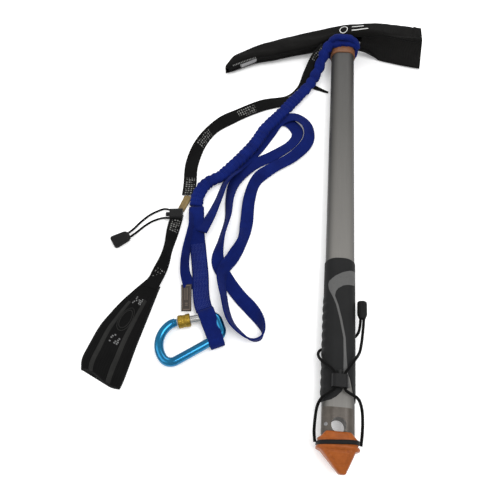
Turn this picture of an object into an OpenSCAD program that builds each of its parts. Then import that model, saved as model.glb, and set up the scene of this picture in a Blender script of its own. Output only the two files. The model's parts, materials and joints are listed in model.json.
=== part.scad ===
// Walking ice axe lying on its side, with head cover, spike cap, elastic tether and wrist leash.
// +X points to the adze, +Y to the head, +Z up. The shaft runs along Y.

/* [Shaft] */
// Width of the oval tube, seen from above
shaft_w = 31; // [30:0.5:31]
// Thickness of the oval tube
shaft_t = 21; // [20:0.5:21]
// Wall of the tube
shaft_wall = 1.5; // [1:0.1:2]
// Where the tube starts, above the cap's tip
shaft_from = 56; // [54:1:58]
// Where the tube ends, under the collar ring
shaft_to = 539; // [538:0.5:540]
// Length of the collar ring between tube and head
collar_len = 11; // [9:1:11]

/* [Grip] */
// Lower end of the rubber grip
grip_from = 69; // [66:1:72]
// Upper end of the rubber grip
grip_to = 210; // [200:1:220]
// Thickness of the rubber
grip_wall = 0.8; // [0.6:0.1:0.8]

/* [Head] */
// Height of the pick's top edge at the shaft
pick_top = 573; // [570:1:573]
// Reach of the pick from the shaft's axis
pick_reach = 151; // [148:1:151]
// Droop of the pick, in mm at 100 mm from the axis
pick_droop = 24; // [23:0.5:25]
// Half thickness of the pick
pick_half = 2.8; // [2:0.2:3]
// Reach of the adze from the shaft's axis
adze_reach = 102; // [98:1:102]
// Half width of the adze's blade
adze_half = 20; // [18:0.5:20.5]

/* [Head cover] */
// Height of the cover's top edge at the shaft
cover_top = 581; // [580:0.5:583]
// Height of the cover's lower edge at the shaft
cover_bottom = 557; // [556.5:0.5:557]
// Reach of the cover on the pick side
cover_pick = 161; // [160:0.5:163]
// Reach of the cover on the adze side
cover_adze = 111; // [110:1:113]
// Half thickness of the cover over the pick
cover_half = 9.5; // [9:0.5:10]
// Half width of the cover over the adze
cover_wide = 24.5; // [24:0.5:25]

/* [Spike cap] */
// Width of the cap's collar
cap_w = 37; // [36:0.5:38]
// Thickness of the cap's collar
cap_t = 29; // [28:0.5:30]
// Top of the cap's collar
cap_top = 33.3; // [33:0.1:33.4]
// Sideways shift of the cap's rounded tip
tip_shift = 4; // [0:0.5:4]

/* [Carabiner] */
// Diameter of the bar
bar_d = 9.5; // [9:0.1:10]
// Radius of the wide basket's bend, to the bar's centre
basket_r = 25; // [24:0.5:26]
// Reach of the narrow end from the basket's centre, to the bar's centre
end_reach = 41; // [40:0.5:42]
// Radius of the narrow end's two bends
end_r = 8; // [7:0.5:8]
// Diameter of the gate
gate_d = 8; // [7.5:0.5:8]
// Outer diameter of the screw sleeve
sleeve_d = 14; // [13:0.5:14]
// Length of the screw sleeve
sleeve_len = 13; // [12:0.5:13]

/* [Webbing] */
// Width of the flat webbing of the tether
webbing_w = 18; // [16:1:18]
// Thickness of the webbing
webbing_t = 1.8; // [1.2:0.1:2]
// Width of the scrunched elastic
elastic_w = 14; // [13:0.5:15]
// Thickness of the scrunched elastic
elastic_t = 7; // [6:0.5:8]
// Diameter of the shock cords
cord_d = 3; // [2.5:0.1:3]

/* [Hidden] */
$fn = 48;
eps = 0.05;
far = 400;

// How the axe lies: on the cover's underside at the adze and the pick, and on the cap's band.
pivot_y = 540;
rest_pick_x = 150;
band_t = 1.3;
roll = atan((cover_wide - cover_half) / (cover_adze + rest_pick_x));
head_z = cover_wide * cos(roll) - cover_adze * sin(roll);
band_z = (cap_t / 2 + band_t) * cos(roll) + (cap_w - cap_t) / 2 * sin(roll);
pitch = asin((head_z - band_z) / (pivot_y - 26));
// Height of the floor under the head, in the axe's own frame.
function floor_at(x) = -(head_z + x * sin(roll)) / cos(roll);
mid_x = (cover_adze - cover_pick) / 2;
mid_y = cover_top / 2;

// Moves what is laid out from the shaft's axis and the cap's tip to the middle of the axe.
module on_floor() translate([-mid_x, -mid_y, 0]) children();
module on_axe() on_floor() translate([0, pivot_y, head_z]) rotate([pitch, 0, 0])
    rotate([0, -roll, 0]) translate([0, -pivot_y, 0]) children();

// An oval prism along Y with flat upper and lower sides.
module oval(w, t, from, to) {
    translate([0, to, 0]) rotate([90, 0, 0]) linear_extrude(to - from) {
        square([w - t, t], center = true);
        for (side = [-1, 1]) translate([side * (w - t) / 2, 0]) circle(d = t);
    }
}
module ring_oval(w, t, wall, from, to) difference() {
    oval(w + 2 * wall, t + 2 * wall, from, to);
    oval(w, t, from - 1, to + 1);
}
module plan(points, half) translate([0, 0, -half]) linear_extrude(2 * half) polygon(points);
module front(points, from, to) translate([0, to, 0]) rotate([90, 0, 0])
    linear_extrude(to - from) polygon(points);
module side(points, half) rotate([90, 0, 90]) translate([0, 0, -half])
    linear_extrude(2 * half) polygon(points);
module through(x, y, r) translate([x, y, -far / 2]) cylinder(r = r, h = far);

// Sweeps: a closed section carried along a route of [x, y, z, roll] points.
function unit(v) = v / norm(v);
function place(p) = [p[0], p[1], p[2]];
function tangent(r, i) = unit((i > 0 ? unit(place(r[i]) - place(r[i - 1])) : [0, 0, 0])
    + (i < len(r) - 1 ? unit(place(r[i + 1]) - place(r[i])) : [0, 0, 0]));
function flat_side(r, i) = let (t = tangent(r, i), s = unit(cross(t, [0, 0, 1])), u = cross(s, t))
    s * cos(r[i][3]) + u * sin(r[i][3]);
function carried(r, i) = let (t = tangent(r, i))
    let (s = i == 0 ? cross(t, [0, 0.3, 1]) : carried(r, i - 1)) unit(s - t * (s * t));
function rings(r, shape, turned) = [for (i = [0:len(r) - 1])
    let (t = tangent(r, i), s = turned ? flat_side(r, i) : carried(r, i), u = cross(s, t))
    for (c = shape) place(r[i]) + s * c[0] + u * c[1]];
function skin(n, m) = concat(
    [[for (k = [0:m - 1]) m - 1 - k]],
    [for (i = [0:n - 2], k = [0:m - 1]) let (a = i * m + k, b = i * m + (k + 1) % m) [a, b, b + m]],
    [for (i = [0:n - 2], k = [0:m - 1]) let (a = i * m + k, b = i * m + (k + 1) % m)
        [a, b + m, a + m]],
    [[for (k = [0:m - 1]) (n - 1) * m + k]]);
module swept(route, shape, turned) polyhedron(rings(route, shape, turned),
    skin(len(route), len(shape)));
function ribbon(w, t) = let (x = w / 2, y = t / 2, e = min(w / 8, t))
    [[x, -y / 2], [x, y / 2], [x - e, y], [e - x, y], [-x, y / 2], [-x, -y / 2], [e - x, -y], [x - e, -y]];
function round_cord(d) = [for (k = [0:7]) [cos(45 * k), sin(45 * k)] * d / 2];
module webbing(route, w, t) on_floor() swept(route, ribbon(w, t), true);
module cord(route, d) swept(route, round_cord(d), false);

// ---- Shaft and grip ----
module shaft() color("dimgray") on_axe() difference() {
    oval(shaft_w, shaft_t, shaft_from, shaft_to);
    oval(shaft_w - 2 * shaft_wall, shaft_t - 2 * shaft_wall, shaft_from - 1, shaft_to + 1);
    through(0, head_pin_y, head_pin_r);
}
module collar_ring() color("chocolate") on_axe()
    ring_oval(shaft_w + 2 * eps, shaft_t + 2 * eps, 1.2, shaft_to + 2 - collar_len, shaft_to + 2);

grip_w = shaft_w + 2 * grip_wall;
grip_t = shaft_t + 2 * grip_wall;
module grip() color("#333333") on_axe()
    ring_oval(shaft_w, shaft_t, grip_wall, grip_from, grip_to);

inlay_proud = 0.35;
inlay_outline = [[18, 206], [6, 205], [-6, 202], [-13, 197], [-12, 184], [-6, 166], [0, 148],
    [4, 118], [6, 98], [7, 74], [13, 74], [12, 98], [9, 118], [6, 148], [4, 160], [5, 172],
    [9, 182], [18, 188]];
module grip_inlay() color("#5a5a5a") on_axe() intersection() {
    ring_oval(grip_w, grip_t, inlay_proud, grip_from, grip_to);
    translate([0, 0, 20]) plan(inlay_outline, 20);
}

// ---- Head ----
head_pin_y = 534.5;
head_pin_r = 2.5;
neck_w = 29;
neck_t = 19;
neck_top = 572;
eye_y = 563.5;
eye_r = 6;
tongue_from = 500;
plug_w = shaft_w - 2 * shaft_wall - 2 * eps;
plug_t = shaft_t - 2 * shaft_wall - 2 * eps;
function droop(x) = pick_droop * x * x / 10000;
pick_steps = [-140:20:-20];
module pick() plan(concat(
    [[-10, pick_top - 1]],
    [for (i = [1:7]) let (x = -20 * i) [x, pick_top - droop(x)]],
    [[-pick_reach, pick_top + 3 - droop(pick_reach)], [-pick_reach, pick_top - 3 - droop(pick_reach)]],
    [for (x = pick_steps) [x, pick_top - 13 + x / 20 * 0.3 - droop(x)]],
    [[-10, pick_top - 16]]), pick_half);
module adze() intersection() {
    plan([[10, 571], [46, 568], [80, 564], [adze_reach, 559.5], [adze_reach, 557], [80, 560],
        [50, 562], [30, 558], [10, 557]], adze_half);
    front([[10, -6], [44, -6], [60, -adze_half], [adze_reach, -adze_half], [adze_reach, adze_half],
        [60, adze_half], [44, 6], [10, 6]], 540, 590);
}
module head() color("silver") on_axe() difference() {
    union() {
        oval(plug_w, plug_t, tongue_from, shaft_to + 2);
        oval(neck_w, neck_t, shaft_to + 1, neck_top);
        pick();
        adze();
    }
    through(0, head_pin_y, head_pin_r);
    through(0, eye_y, eye_r);
}
module head_pin() color("gray") on_axe() translate([0, head_pin_y, -shaft_t / 2])
    cylinder(r = head_pin_r, h = shaft_t);

// ---- Spike ferrule ----
spike_eye_y = 40.5;
spike_eye_r = 6.8;
spike_pin_x = -11.5;
spike_pin_r = 1.6;
taper_from = 33;
spike_tip = [[1.5, 8], [4, 8]];
module spike_shape(gap) intersection() {
    plan([[-shaft_w / 2 - gap, shaft_from], [-shaft_w / 2 - gap, taper_from - gap],
        spike_tip[0] - [gap, gap], spike_tip[1] + [gap, -gap],
        [shaft_w / 2 + gap, taper_from - gap], [shaft_w / 2 + gap, shaft_from]], 20);
    side([[shaft_from, shaft_t / 2 + gap], [36, shaft_t / 2 + gap], [8 - gap, 2 + gap],
        [8 - gap, -2 - gap], [36, -shaft_t / 2 - gap], [shaft_from, -shaft_t / 2 - gap]], 30);
    oval(shaft_w + 2 * gap, shaft_t + 2 * gap, 0, shaft_from);
}
module ferrule() color("rosybrown") on_axe() difference() {
    union() {
        spike_shape(0);
        oval(plug_w, plug_t, shaft_from - 1, shaft_from + 30);
    }
    through(0, spike_eye_y, spike_eye_r);
    through(spike_pin_x, spike_eye_y, spike_pin_r);
}
module spike_pin() color("gray") on_axe() intersection() {
    through(spike_pin_x, spike_eye_y, spike_pin_r);
    oval(shaft_w, shaft_t, 30, 50);
}

// ---- Head cover: a pouch that is open along its lower edge ----
cover_skew = 4;
cover_wall = 1.2;
cover_x = [-150, -130, -110, -85, -60, -30, 0];
cover_xr = [0, -30, -60, -85, -110, -130, -150];
module cover_outline() plan(concat(
    [[-cover_pick, 505], [-cover_pick + 4, 515]],
    [for (x = cover_x) [x, cover_top - droop(x)]],
    [[45, cover_top - 3], [80, cover_top - 8], [cover_adze, cover_top - 13],
        [cover_adze, 538], [80, 546], [50, 551], [25, cover_bottom]],
    [for (x = cover_xr) [x, cover_bottom - 0.25 * abs(x) / 5 - 0.0019 * x * x]],
    [[-cover_pick + 2, 498]]), 30);
adze_x = 54;
module cover_ends() front([[-cover_pick, -5], [-150, -cover_half], [-30, -cover_half], [-16, -12.5],
    [36, -13], [adze_x, floor_at(adze_x)], [cover_adze, floor_at(cover_adze)],
    [cover_adze - 2 * cover_skew, cover_wide], [adze_x, cover_wide], [36, 13], [-16, 12.5],
    [-30, cover_half], [-150, cover_half], [-cover_pick, 5]], 400, 600);
module cover_space() intersection() {
    plan(concat(
        [[-pick_reach - 2, 440]],
        [[-pick_reach - 2, pick_top + 5 - droop(pick_reach)]],
        [for (i = [6:-1:1]) let (x = -20 * i) [x, pick_top + 3.5 - droop(x)]],
        [[16, pick_top + 3], [46, pick_top + 0.5], [80, pick_top - 4], [adze_reach + 2, pick_top - 9],
            [adze_reach + 2, 440]]), 30);
    front([[-pick_reach - 2, -3.6], [-19, -3.6], [-16, -10.2], [36, -10.2],
        [adze_x - 2, floor_at(adze_x - 2) + cover_wall], [adze_reach + 2, floor_at(adze_reach + 2) + cover_wall],
        [adze_reach + 2, cover_wide - 2], [adze_x - 2, cover_wide - 2],
        [36, 10.2], [-16, 10.2], [-19, 3.6], [-pick_reach - 2, 3.6]], 400, 600);
}
module cover_shell() color("#1c1c1c") on_axe() difference() {
    intersection() {
        cover_outline();
        cover_ends();
    }
    cover_space();
}
tooth_step = 3;
module cover_zip() color("gray") on_axe() for (i = [0:6], lip = [-1, 1]) let (x = -148 + i * tooth_step)
    translate([x, cover_bottom - 0.05 * abs(x) - 0.0019 * x * x, lip * 5.5])
        rotate([0, 0, 30]) cube([1.8, 2, 2.4], center = true);

// ---- Spike cap with its band, cord and cord lock ----
cap_fit = 0.4;
module cap_body() {
    oval(cap_w, cap_t, 19, cap_top);
    intersection() {
        plan(concat([[-15.5, 20]], [[tip_shift - 3.2, 1.8], [tip_shift, 0], [tip_shift + 3.2, 1.8]],
            [[16.5, 20]]), 20);
        side([[20, 12], [0, 5.5], [0, -5.5], [20, -12]], 30);
    }
}
module spike_cap() color("darkorange") on_axe() difference() {
    cap_body();
    spike_shape(cap_fit);
}
module cap_band() color("#101010") on_axe() ring_oval(cap_w, cap_t, band_t, 22.5, 28.5);

// The cord's points are measured from the shaft's axis, in the axe's own frame.
cap_left = [[-20.6, 25, 3], [-21.5, 34, 2], [-21, 45, 1], [-19.6, 56, 3], [-16, 63, 9], [-9, 68, 14.4],
    [-4.7, 72, 16.1], [-4.7, 85, 16.1], [-9, 91, 14.8], [-16, 97, 9.5], [-20, 105, 2], [-18, 113, -8],
    [-10.5, 118, -13], [2, 124, -13.9], [13, 128, -12], [19, 132, -5], [20.8, 138, 0], [21.5, 146, 1]];
cap_right = [[20.6, 25, 3], [22, 36, 2], [22.6, 48, 1], [21.5, 58, 3], [17.5, 65, 9], [9, 68.5, 14.4],
    [4.7, 72, 16.1], [4.7, 85, 16.1], [9, 92, 14.8], [14.5, 101, 11.5], [19.5, 110, 6], [22, 121, 3],
    [23.5, 134, 3], [24.5, 146, 3]];
module cap_cord_left() color("#151515") on_axe() cord(cap_left, cord_d);
module cap_cord_right() color("#151515") on_axe() cord(cap_right, cord_d);

lock_z = 16.1;
lock_hole = 4;
module lock_body(size, plunger_d, hole_gap, holes) difference() {
    union() {
        cube(size, center = true);
        for (s = [-1, 1]) translate([s * size[0] / 2, 0, 0]) rotate([90, 0, 0])
            cylinder(d = size[2], h = size[1], center = true);
    }
    translate([0, -size[1] / 2 + 2, 0]) rotate([-90, 0, 0]) cylinder(d = plunger_d, h = size[1]);
    if (holes) for (s = [-1, 1]) translate([s * hole_gap, 0, 0]) rotate([90, 0, 0])
        cylinder(d = lock_hole, h = 2 * size[1], center = true);
}
module lock_plunger(size, plunger_d, stem) {
    translate([0, size[1] / 2 - stem, 0]) rotate([-90, 0, 0])
        cylinder(d = plunger_d - 2 * eps, h = stem + 4.5);
}
module lock_spring(size, spring_len) translate([0, -size[1] / 2 + 2, 0]) rotate([-90, 0, 0])
    cylinder(d = 3.6, h = spring_len);

cap_lock_size = [7.5, 12, 8];
cap_lock_y = 78.5;
module at_cap_lock() on_axe() translate([0, cap_lock_y, lock_z]) children();
module cap_lock() color("#202020") at_cap_lock() lock_body(cap_lock_size, 4, 4.7, true);
module cap_plunger() color("#6a6a6a") at_cap_lock() lock_plunger(cap_lock_size, 4, 4.5);
module cap_spring() color("silver") at_cap_lock() lock_spring(cap_lock_size, 4.5);
module cap_pull() color("#181818") on_axe() translate([23, 146, 2]) rotate([-90, 0, 0]) {
    cylinder(d1 = 7.5, d2 = 10, h = 4, $fn = 24);
    translate([0, 0, 4]) cylinder(d = 10, h = 15, $fn = 24);
}

// ---- Tether: hitch, elastic, webbing and sewn eye ----
hitch_from = shaft_to + 2.5;
module tether_hitch() color("mediumblue") on_axe()
    ring_oval(neck_w + 0.6, neck_t + 0.6, 6.5, hitch_from, cover_bottom - 2.5);
elastic_route = [[-22, 547, 26, 0], [-28, 527, 19, 0], [-34, 507, 11, 0], [-44, 484, 8, 0],
    [-60, 458, 8, 0], [-78, 430, 7, 0], [-96, 403, 7, 0], [-110, 372, 7, 0], [-126, 346, 7, 0],
    [-143, 322, 7, 0], [-160, 308, 7, 0], [-168, 292, 6, 0], [-169, 274, 6, 0]];
left_route = [[-169, 272, 2, 10], [-168, 246, 8, 60], [-170, 210, 9, 65], [-167, 186, 8, 50],
    [-158, 168, 4, 10]];
sewn_route = [[-168, 268, 6, 0], [-163, 240, 5.5, 0], [-157, 214, 4, 0], [-151, 188, 4, 0],
    [-146, 164, 5, 0], [-143, 148, 7, 0]];
upper_route = [[-157, 238, 9, 15], [-149, 262, 8, 35], [-143, 286, 8, 50], [-137, 312, 8, 50],
    [-124, 340, 3, 10], [-106, 368, 1.6, 0], [-92, 396, 1.6, 0], [-80, 418, 4, 0], [-60, 426, 6, 10],
    [-43, 412, 7, 20], [-41, 387, 6, 20], [-58, 362, 4, 5], [-84, 340, 4, 5], [-101, 318, 7, 40],
    [-107, 290, 6, 25], [-107, 258, 5, 15], [-109, 232, 8, 50], [-117, 211, 7, 30], [-127, 188, 8, 50],
    [-121, 160, 8, 65], [-112, 136, 8.5, 65], [-99, 123, 8, 70], [-87, 117, 8.2, 80],
    [-78, 121, 8.5, 88]];
lower_route = [[-76.5, 127, 8.5, 88], [-80, 138, 7.5, 60], [-92, 154, 4, 25], [-105, 166, 1.6, 0],
    [-122, 186, 1.6, 0], [-134, 206, 4, 20], [-133, 232, 8, 60], [-129, 262, 8, 60], [-130, 290, 7, 45], [-126, 318, 2.5, 10],
    [-108, 344, 1.6, 0], [-84, 362, 1.6, 0], [-62, 382, 3, 15], [-55, 402, 3, 15], [-68, 419, 2, 0],
    [-88, 420, 1.6, 0]];
module tether_elastic() color("mediumblue") webbing(elastic_route, elastic_w, elastic_t);
module tether_left() color("mediumblue") webbing(left_route, webbing_w - 2, webbing_t);
module tether_sewn() color("mediumblue") webbing(sewn_route, webbing_w, 2 * webbing_t);
module sling_upper() color("mediumblue") webbing(upper_route, webbing_w - 2, webbing_t);
module sling_lower() color("mediumblue") webbing(lower_route, webbing_w - 2, webbing_t);

eye_wall = 1.6;
eye_gap = 0.4;
bar_z = max(bar_d / 2 + eye_wall + eye_gap, sleeve_d / 2);
spine_angle = 36;
gate_angle = 17;
spine_at = [-146, 99];
gate_at = [-164, 129];
// The sewn eye wraps the gate and the spine like a racetrack that lies across both.
eye_start = [-140, 147];
eye_angle = -64;
eye_from = 8.5;
eye_reach = 38.5;
module racetrack(r) hull() {
    translate([eye_from, bar_z]) circle(r = r);
    translate([eye_reach, bar_z]) circle(r = r);
}
module tether_eye() color("mediumblue") on_floor() translate([eye_start[0], eye_start[1], 0])
    rotate([0, 0, eye_angle]) rotate([90, 0, 0]) translate([0, 0, -webbing_w / 2])
        linear_extrude(webbing_w) difference() {
            racetrack(bar_z);
            racetrack(bar_z - eye_wall);
        }
tag_outline = [[-169, 171], [-158, 173], [-153.5, 142], [-164, 141]];
module label_tag() color("#3a2c20") on_floor() translate([0, 0, 6.5])
    linear_extrude(1) polygon(tag_outline);

// ---- Carabiner: bar swept through straight lines and bends, gate and sleeve ----
corner_low = 10;
corner_top = 10;
basket_at = [-156, 107];
function dir(a) = [cos(a), sin(a)];
function left_of(a) = [-sin(a), cos(a)];
// Centre of a fillet of radius r inside the basket and beside a line, on the chosen side.
function fillet(line, normal, r, turn) = let (d = (basket_at - line) * normal)
    let (a = acos((r - d) / (basket_r - r)))
    basket_at + (basket_r - r) * dir(atan2(normal[1], normal[0]) + turn * a);
low_at = fillet(spine_at, left_of(spine_angle), corner_low, 1);
top_at = fillet(gate_at, -left_of(gate_angle), corner_top, -1);
// Where two lines meet, each given by its normal and its distance from the origin.
function meet(n, k, m, j) = let (det = n[0] * m[1] - n[1] * m[0])
    [(k * m[1] - j * n[1]) / det, (n[0] * j - m[0] * k) / det];
ns = left_of(spine_angle);
ng = -left_of(gate_angle);
end_angle = (spine_angle + gate_angle) / 2;
end_line = dir(end_angle) * basket_at + end_reach - end_r;
gate_corner = meet(ng, ng * gate_at + end_r, dir(end_angle), end_line);
spine_corner = meet(ns, ns * spine_at + end_r, dir(end_angle), end_line);
gate_start = top_at - ng * corner_top;
gate_end = gate_corner - ng * end_r;
low_touch = atan2((low_at - basket_at)[1], (low_at - basket_at)[0]);
top_touch = atan2((top_at - basket_at)[1], (top_at - basket_at)[0]);
nose_len = 3;
hinge_s = norm(gate_end - gate_start) - 6.5;
hinge_at = gate_start + hinge_s * dir(gate_angle);
fork_to = hinge_s + 5.7;
bar_to = 0.8;
bend_step = 15;
// The bar's centre line, from the gate's hinge round the narrow end, the spine and the basket.
function arc(at, r, from, to) = let (n = ceil(abs(to - from) / bend_step))
    [for (k = [0:n]) at + r * dir(from + (to - from) * k / n)];
bar_line = concat(
    [gate_start + fork_to * dir(gate_angle)],
    arc(gate_corner, end_r, gate_angle + 90, end_angle),
    arc(spine_corner, end_r, end_angle, spine_angle - 90),
    arc(low_at, corner_low, spine_angle - 90, low_touch),
    arc(basket_at, basket_r, low_touch, top_touch - 360),
    arc(top_at, corner_top, top_touch - 360, gate_angle + 90 - 360),
    [gate_start + bar_to * dir(gate_angle)]);
function apart(p) = [for (i = [0:len(p) - 1]) if (i == 0 || norm(p[i] - p[max(i - 1, 0)]) > 0.5) p[i]];
function bar_shape(d) = [for (k = [0:11]) [cos(30 * k), sin(30 * k)] * d / 2];
module at_gate() on_floor() translate([gate_start[0], gate_start[1], bar_z])
    rotate([0, 0, gate_angle]) children();
module along(from, to, d) translate([from, 0, 0]) rotate([0, 90, 0]) cylinder(d = d, h = to - from);

tongue_half = 2;
module carabiner() color("dodgerblue") on_floor()
    swept([for (p = apart(bar_line)) [p[0], p[1], bar_z, 0]], bar_shape(bar_d), true);
// The machined ends of the bar: the nose and the fork that holds the gate.
module bar_ends() color("dodgerblue") at_gate() {
    along(bar_to, nose_len, gate_d);
    difference() {
        intersection() {
            along(hinge_s - 5, fork_to, bar_d);
            union() {
                translate([hinge_s, 0, 0]) cylinder(d = bar_d, h = 20, center = true);
                translate([hinge_s, -10, -10]) cube([10, 20, 20]);
            }
        }
        translate([hinge_s - 6, -10, -tongue_half - 0.2]) cube([10.3, 20, 2 * tongue_half + 0.4]);
        translate([hinge_s, 0, 0]) cylinder(r = gate_pin_r, h = 20, center = true);
    }
}
gate_pin_r = 1.25;
gate_gap = 0.3;
spring_bore = 3.2;
module gate() color("lightgray") at_gate() difference() {
    union() {
        difference() {
            along(nose_len + gate_gap, hinge_s, gate_d);
            translate([hinge_s, 0, 0]) difference() {
                cylinder(r = bar_d / 2 + gate_gap, h = 20, center = true);
                cube([20, 20, 2 * tongue_half], center = true);
            }
        }
        intersection() {
            translate([hinge_s, 0, 0]) cylinder(d = gate_d, h = 2 * tongue_half, center = true);
            along(hinge_s - 5, hinge_s + 5, gate_d);
        }
    }
    translate([hinge_s, 0, 0]) cylinder(r = gate_pin_r + eps, h = 20, center = true);
    along(hinge_s - 24, hinge_s - 8, spring_bore);
}
module gate_pin() color("silver") at_gate() translate([hinge_s, 0, 0])
    cylinder(r = gate_pin_r, h = bar_d - 1.6, center = true);
module gate_spring() color("silver") at_gate() along(hinge_s - 23.5, hinge_s - 8.5, spring_bore - 0.3);
// The gate's swing carries the sleeve's outer corner 0.9 mm towards the nose.
sleeve_swing = 1.2;
sleeve_from = nose_len + sleeve_swing;
module screw_sleeve() color("goldenrod") at_gate() difference() {
    union() {
        along(sleeve_from, sleeve_from + sleeve_len, sleeve_d - 1);
        along(sleeve_from + 1, sleeve_from + 5, sleeve_d);
        along(sleeve_from + 8, sleeve_from + 12, sleeve_d);
    }
    along(0, 40, gate_d + 0.12);
}

// ---- Wrist leash ----
wrist_route = [[-25, 546, 21, 30], [-37, 530, 15, 30], [-45, 507, 8, 20], [-52, 484, 2, 0],
    [-70, 461, 1.6, 0], [-104, 445, 4, 20], [-136, 424, 4, 20], [-161, 398, 8, 60], [-177, 369, 7, 45],
    [-184, 338, 3, 10], [-182, 308, 1.6, 0], [-181, 291, 2.5, 0]];
strap_route = [[-190, 254, 3, 5], [-190.5, 235, 6, 35], [-191, 214, 8, 60], [-193, 196, 7, 45],
    [-199, 176, 4, 5]];
module wrist_webbing() color("#1a1a1a") webbing(wrist_route, webbing_w - 2, 1.4);
module wrist_strap() color("#1a1a1a") webbing(strap_route, webbing_w - 3, 1.4);
module webbing_tail() color("#1a1a1a") on_floor()
    linear_extrude(1.4) polygon([[-42, 489], [-30, 482], [-16, 480], [-17, 483], [-29, 488], [-38, 493]]);
module wrist_keeper() color("goldenrod") on_floor() linear_extrude(2.4)
    polygon([[-185.5, 290], [-176.5, 289], [-183, 267.8], [-191, 268.6]]);
wrist_lock_size = [5, 15, 9];
wrist_lock_at = [-190.5, 261.5, 4.6];
module at_wrist_lock() on_floor() translate(wrist_lock_at) rotate([0, 0, 97]) children();
module wrist_lock() color("#202020") at_wrist_lock() lock_body(wrist_lock_size, 5, 4.2, false);
module wrist_plunger() color("#2c2c2c") at_wrist_lock() lock_plunger(wrist_lock_size, 5, 6);
module wrist_spring() color("silver") at_wrist_lock() lock_spring(wrist_lock_size, 7);
lock_a = [[-198.6, 266.2, 5], [-206, 267, 4.5], [-215, 264, 2], [-223, 258, 1.5], [-231, 248, 1.5],
    [-237, 238, 2], [-241.5, 230.5, 4]];
lock_b = [[-197.3, 255.1, 5], [-204.5, 254.6, 4.5], [-212, 253.5, 2], [-219, 249.5, 1.5],
    [-226.5, 242, 1.5], [-232.5, 234, 2], [-237.5, 226.5, 4]];
module wrist_cord_a() color("#151515") on_floor() cord(lock_a, 2.6);
module wrist_cord_b() color("#151515") on_floor() cord(lock_b, 2.6);
module wrist_pull() color("#181818") on_floor() translate([-239.5, 228.5, 4.2])
    rotate([0, 0, 217]) intersection() {
        translate([0, 0, -4]) linear_extrude(8) polygon([[0, -4.5], [3, -6.5], [19, -8], [21, -6.5],
            [21, 6.5], [19, 8], [3, 6.5], [0, 4.5]]);
        rotate([90, 0, 0]) linear_extrude(30, center = true)
            polygon([[0, -3], [3, -4], [19, -4], [21, -3], [21, 3], [19, 4], [3, 4], [0, 3]]);
    }
cuff_t = 8;
module wrist_cuff() color("#1a1a1a") on_floor() linear_extrude(cuff_t)
    polygon([[-209, 175], [-192, 168], [-202, 115], [-212.5, 60], [-226, 58], [-251, 72], [-232, 126]]);

shaft();
collar_ring();
head();
head_pin();
grip();
grip_inlay();
ferrule();
spike_pin();
cover_shell();
cover_zip();
spike_cap();
cap_band();
cap_cord_left();
cap_cord_right();
cap_lock();
cap_plunger();
cap_spring();
cap_pull();
tether_hitch();
tether_elastic();
tether_left();
tether_sewn();
tether_eye();
sling_upper();
sling_lower();
label_tag();
carabiner();
bar_ends();
gate();
gate_pin();
gate_spring();
screw_sleeve();
wrist_webbing();
webbing_tail();
wrist_keeper();
wrist_lock();
wrist_plunger();
wrist_spring();
wrist_cord_a();
wrist_cord_b();
wrist_pull();
wrist_strap();
wrist_cuff();
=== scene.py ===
"""A walking ice axe with its head cover, spike cap, tether and wrist leash, dressed round its CAD frame."""
import json
import math

import bpy
import numpy as np
from mathutils import Matrix, Vector, noise


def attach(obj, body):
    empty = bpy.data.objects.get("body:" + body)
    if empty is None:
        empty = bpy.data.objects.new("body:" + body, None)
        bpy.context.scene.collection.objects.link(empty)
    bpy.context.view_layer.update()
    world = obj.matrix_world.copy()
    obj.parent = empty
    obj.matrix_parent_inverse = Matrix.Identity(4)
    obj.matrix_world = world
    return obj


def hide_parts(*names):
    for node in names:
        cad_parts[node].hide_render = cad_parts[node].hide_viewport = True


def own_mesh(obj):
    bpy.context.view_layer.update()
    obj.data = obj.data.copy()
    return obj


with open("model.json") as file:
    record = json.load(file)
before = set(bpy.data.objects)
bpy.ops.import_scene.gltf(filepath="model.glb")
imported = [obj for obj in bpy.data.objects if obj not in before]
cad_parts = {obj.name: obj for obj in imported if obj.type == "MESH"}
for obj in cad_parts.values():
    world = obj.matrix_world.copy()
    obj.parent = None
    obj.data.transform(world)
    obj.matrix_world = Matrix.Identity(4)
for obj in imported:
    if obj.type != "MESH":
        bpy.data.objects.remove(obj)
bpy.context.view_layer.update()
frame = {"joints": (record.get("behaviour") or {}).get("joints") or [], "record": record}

MM = 0.001
MID_X = -25.0
MID_Y = 290.5
EYE_Y = 40.5
TAU = 2 * math.pi

# ---- Camera ----
camera_data = bpy.data.cameras.new("camera")
camera_data.sensor_width = 36
camera_data.lens = 34.56
camera = bpy.data.objects.new("camera", camera_data)
camera.location = (-0.0489, -0.3235, 0.483)
camera.rotation_euler = (math.radians(28.2), 0, math.radians(5.7))
bpy.context.scene.collection.objects.link(camera)
bpy.context.scene.camera = camera

# ---- Places: the laid-out cords' frame and the axe's own frame, both in millimetres ----
mounts = {m["name"]: m for m in frame["record"]["mounts"]}
joints = {j["name"]: j for j in frame["joints"]}
axe_up = Vector(mounts["spike_eye"]["axis"]).normalized()
axe_along = Vector(joints["cover_slide"]["axis"]).normalized()
axe_across = axe_along.cross(axe_up).normalized()
AXE = Matrix((axe_across, axe_along, axe_up)).transposed().to_4x4()
AXE.translation = Vector(mounts["spike_eye"]["pos_m"]) - axe_along * EYE_Y * MM


def floor_points(points):
    """Millimetres from the shaft's axis and the cap's tip, as metres in the row frame."""
    p = np.array(points, float)
    p[:, 0] -= MID_X
    p[:, 1] -= MID_Y
    p[:, :3] *= MM
    return p


def axe_points(points):
    """Millimetres in the axe's own frame, as metres in the row frame."""
    p = np.array(points, float)
    turn = np.array(AXE.to_3x3())
    p[:, :3] = p[:, :3] * MM @ turn.T + np.array(AXE.translation)
    return p


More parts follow.
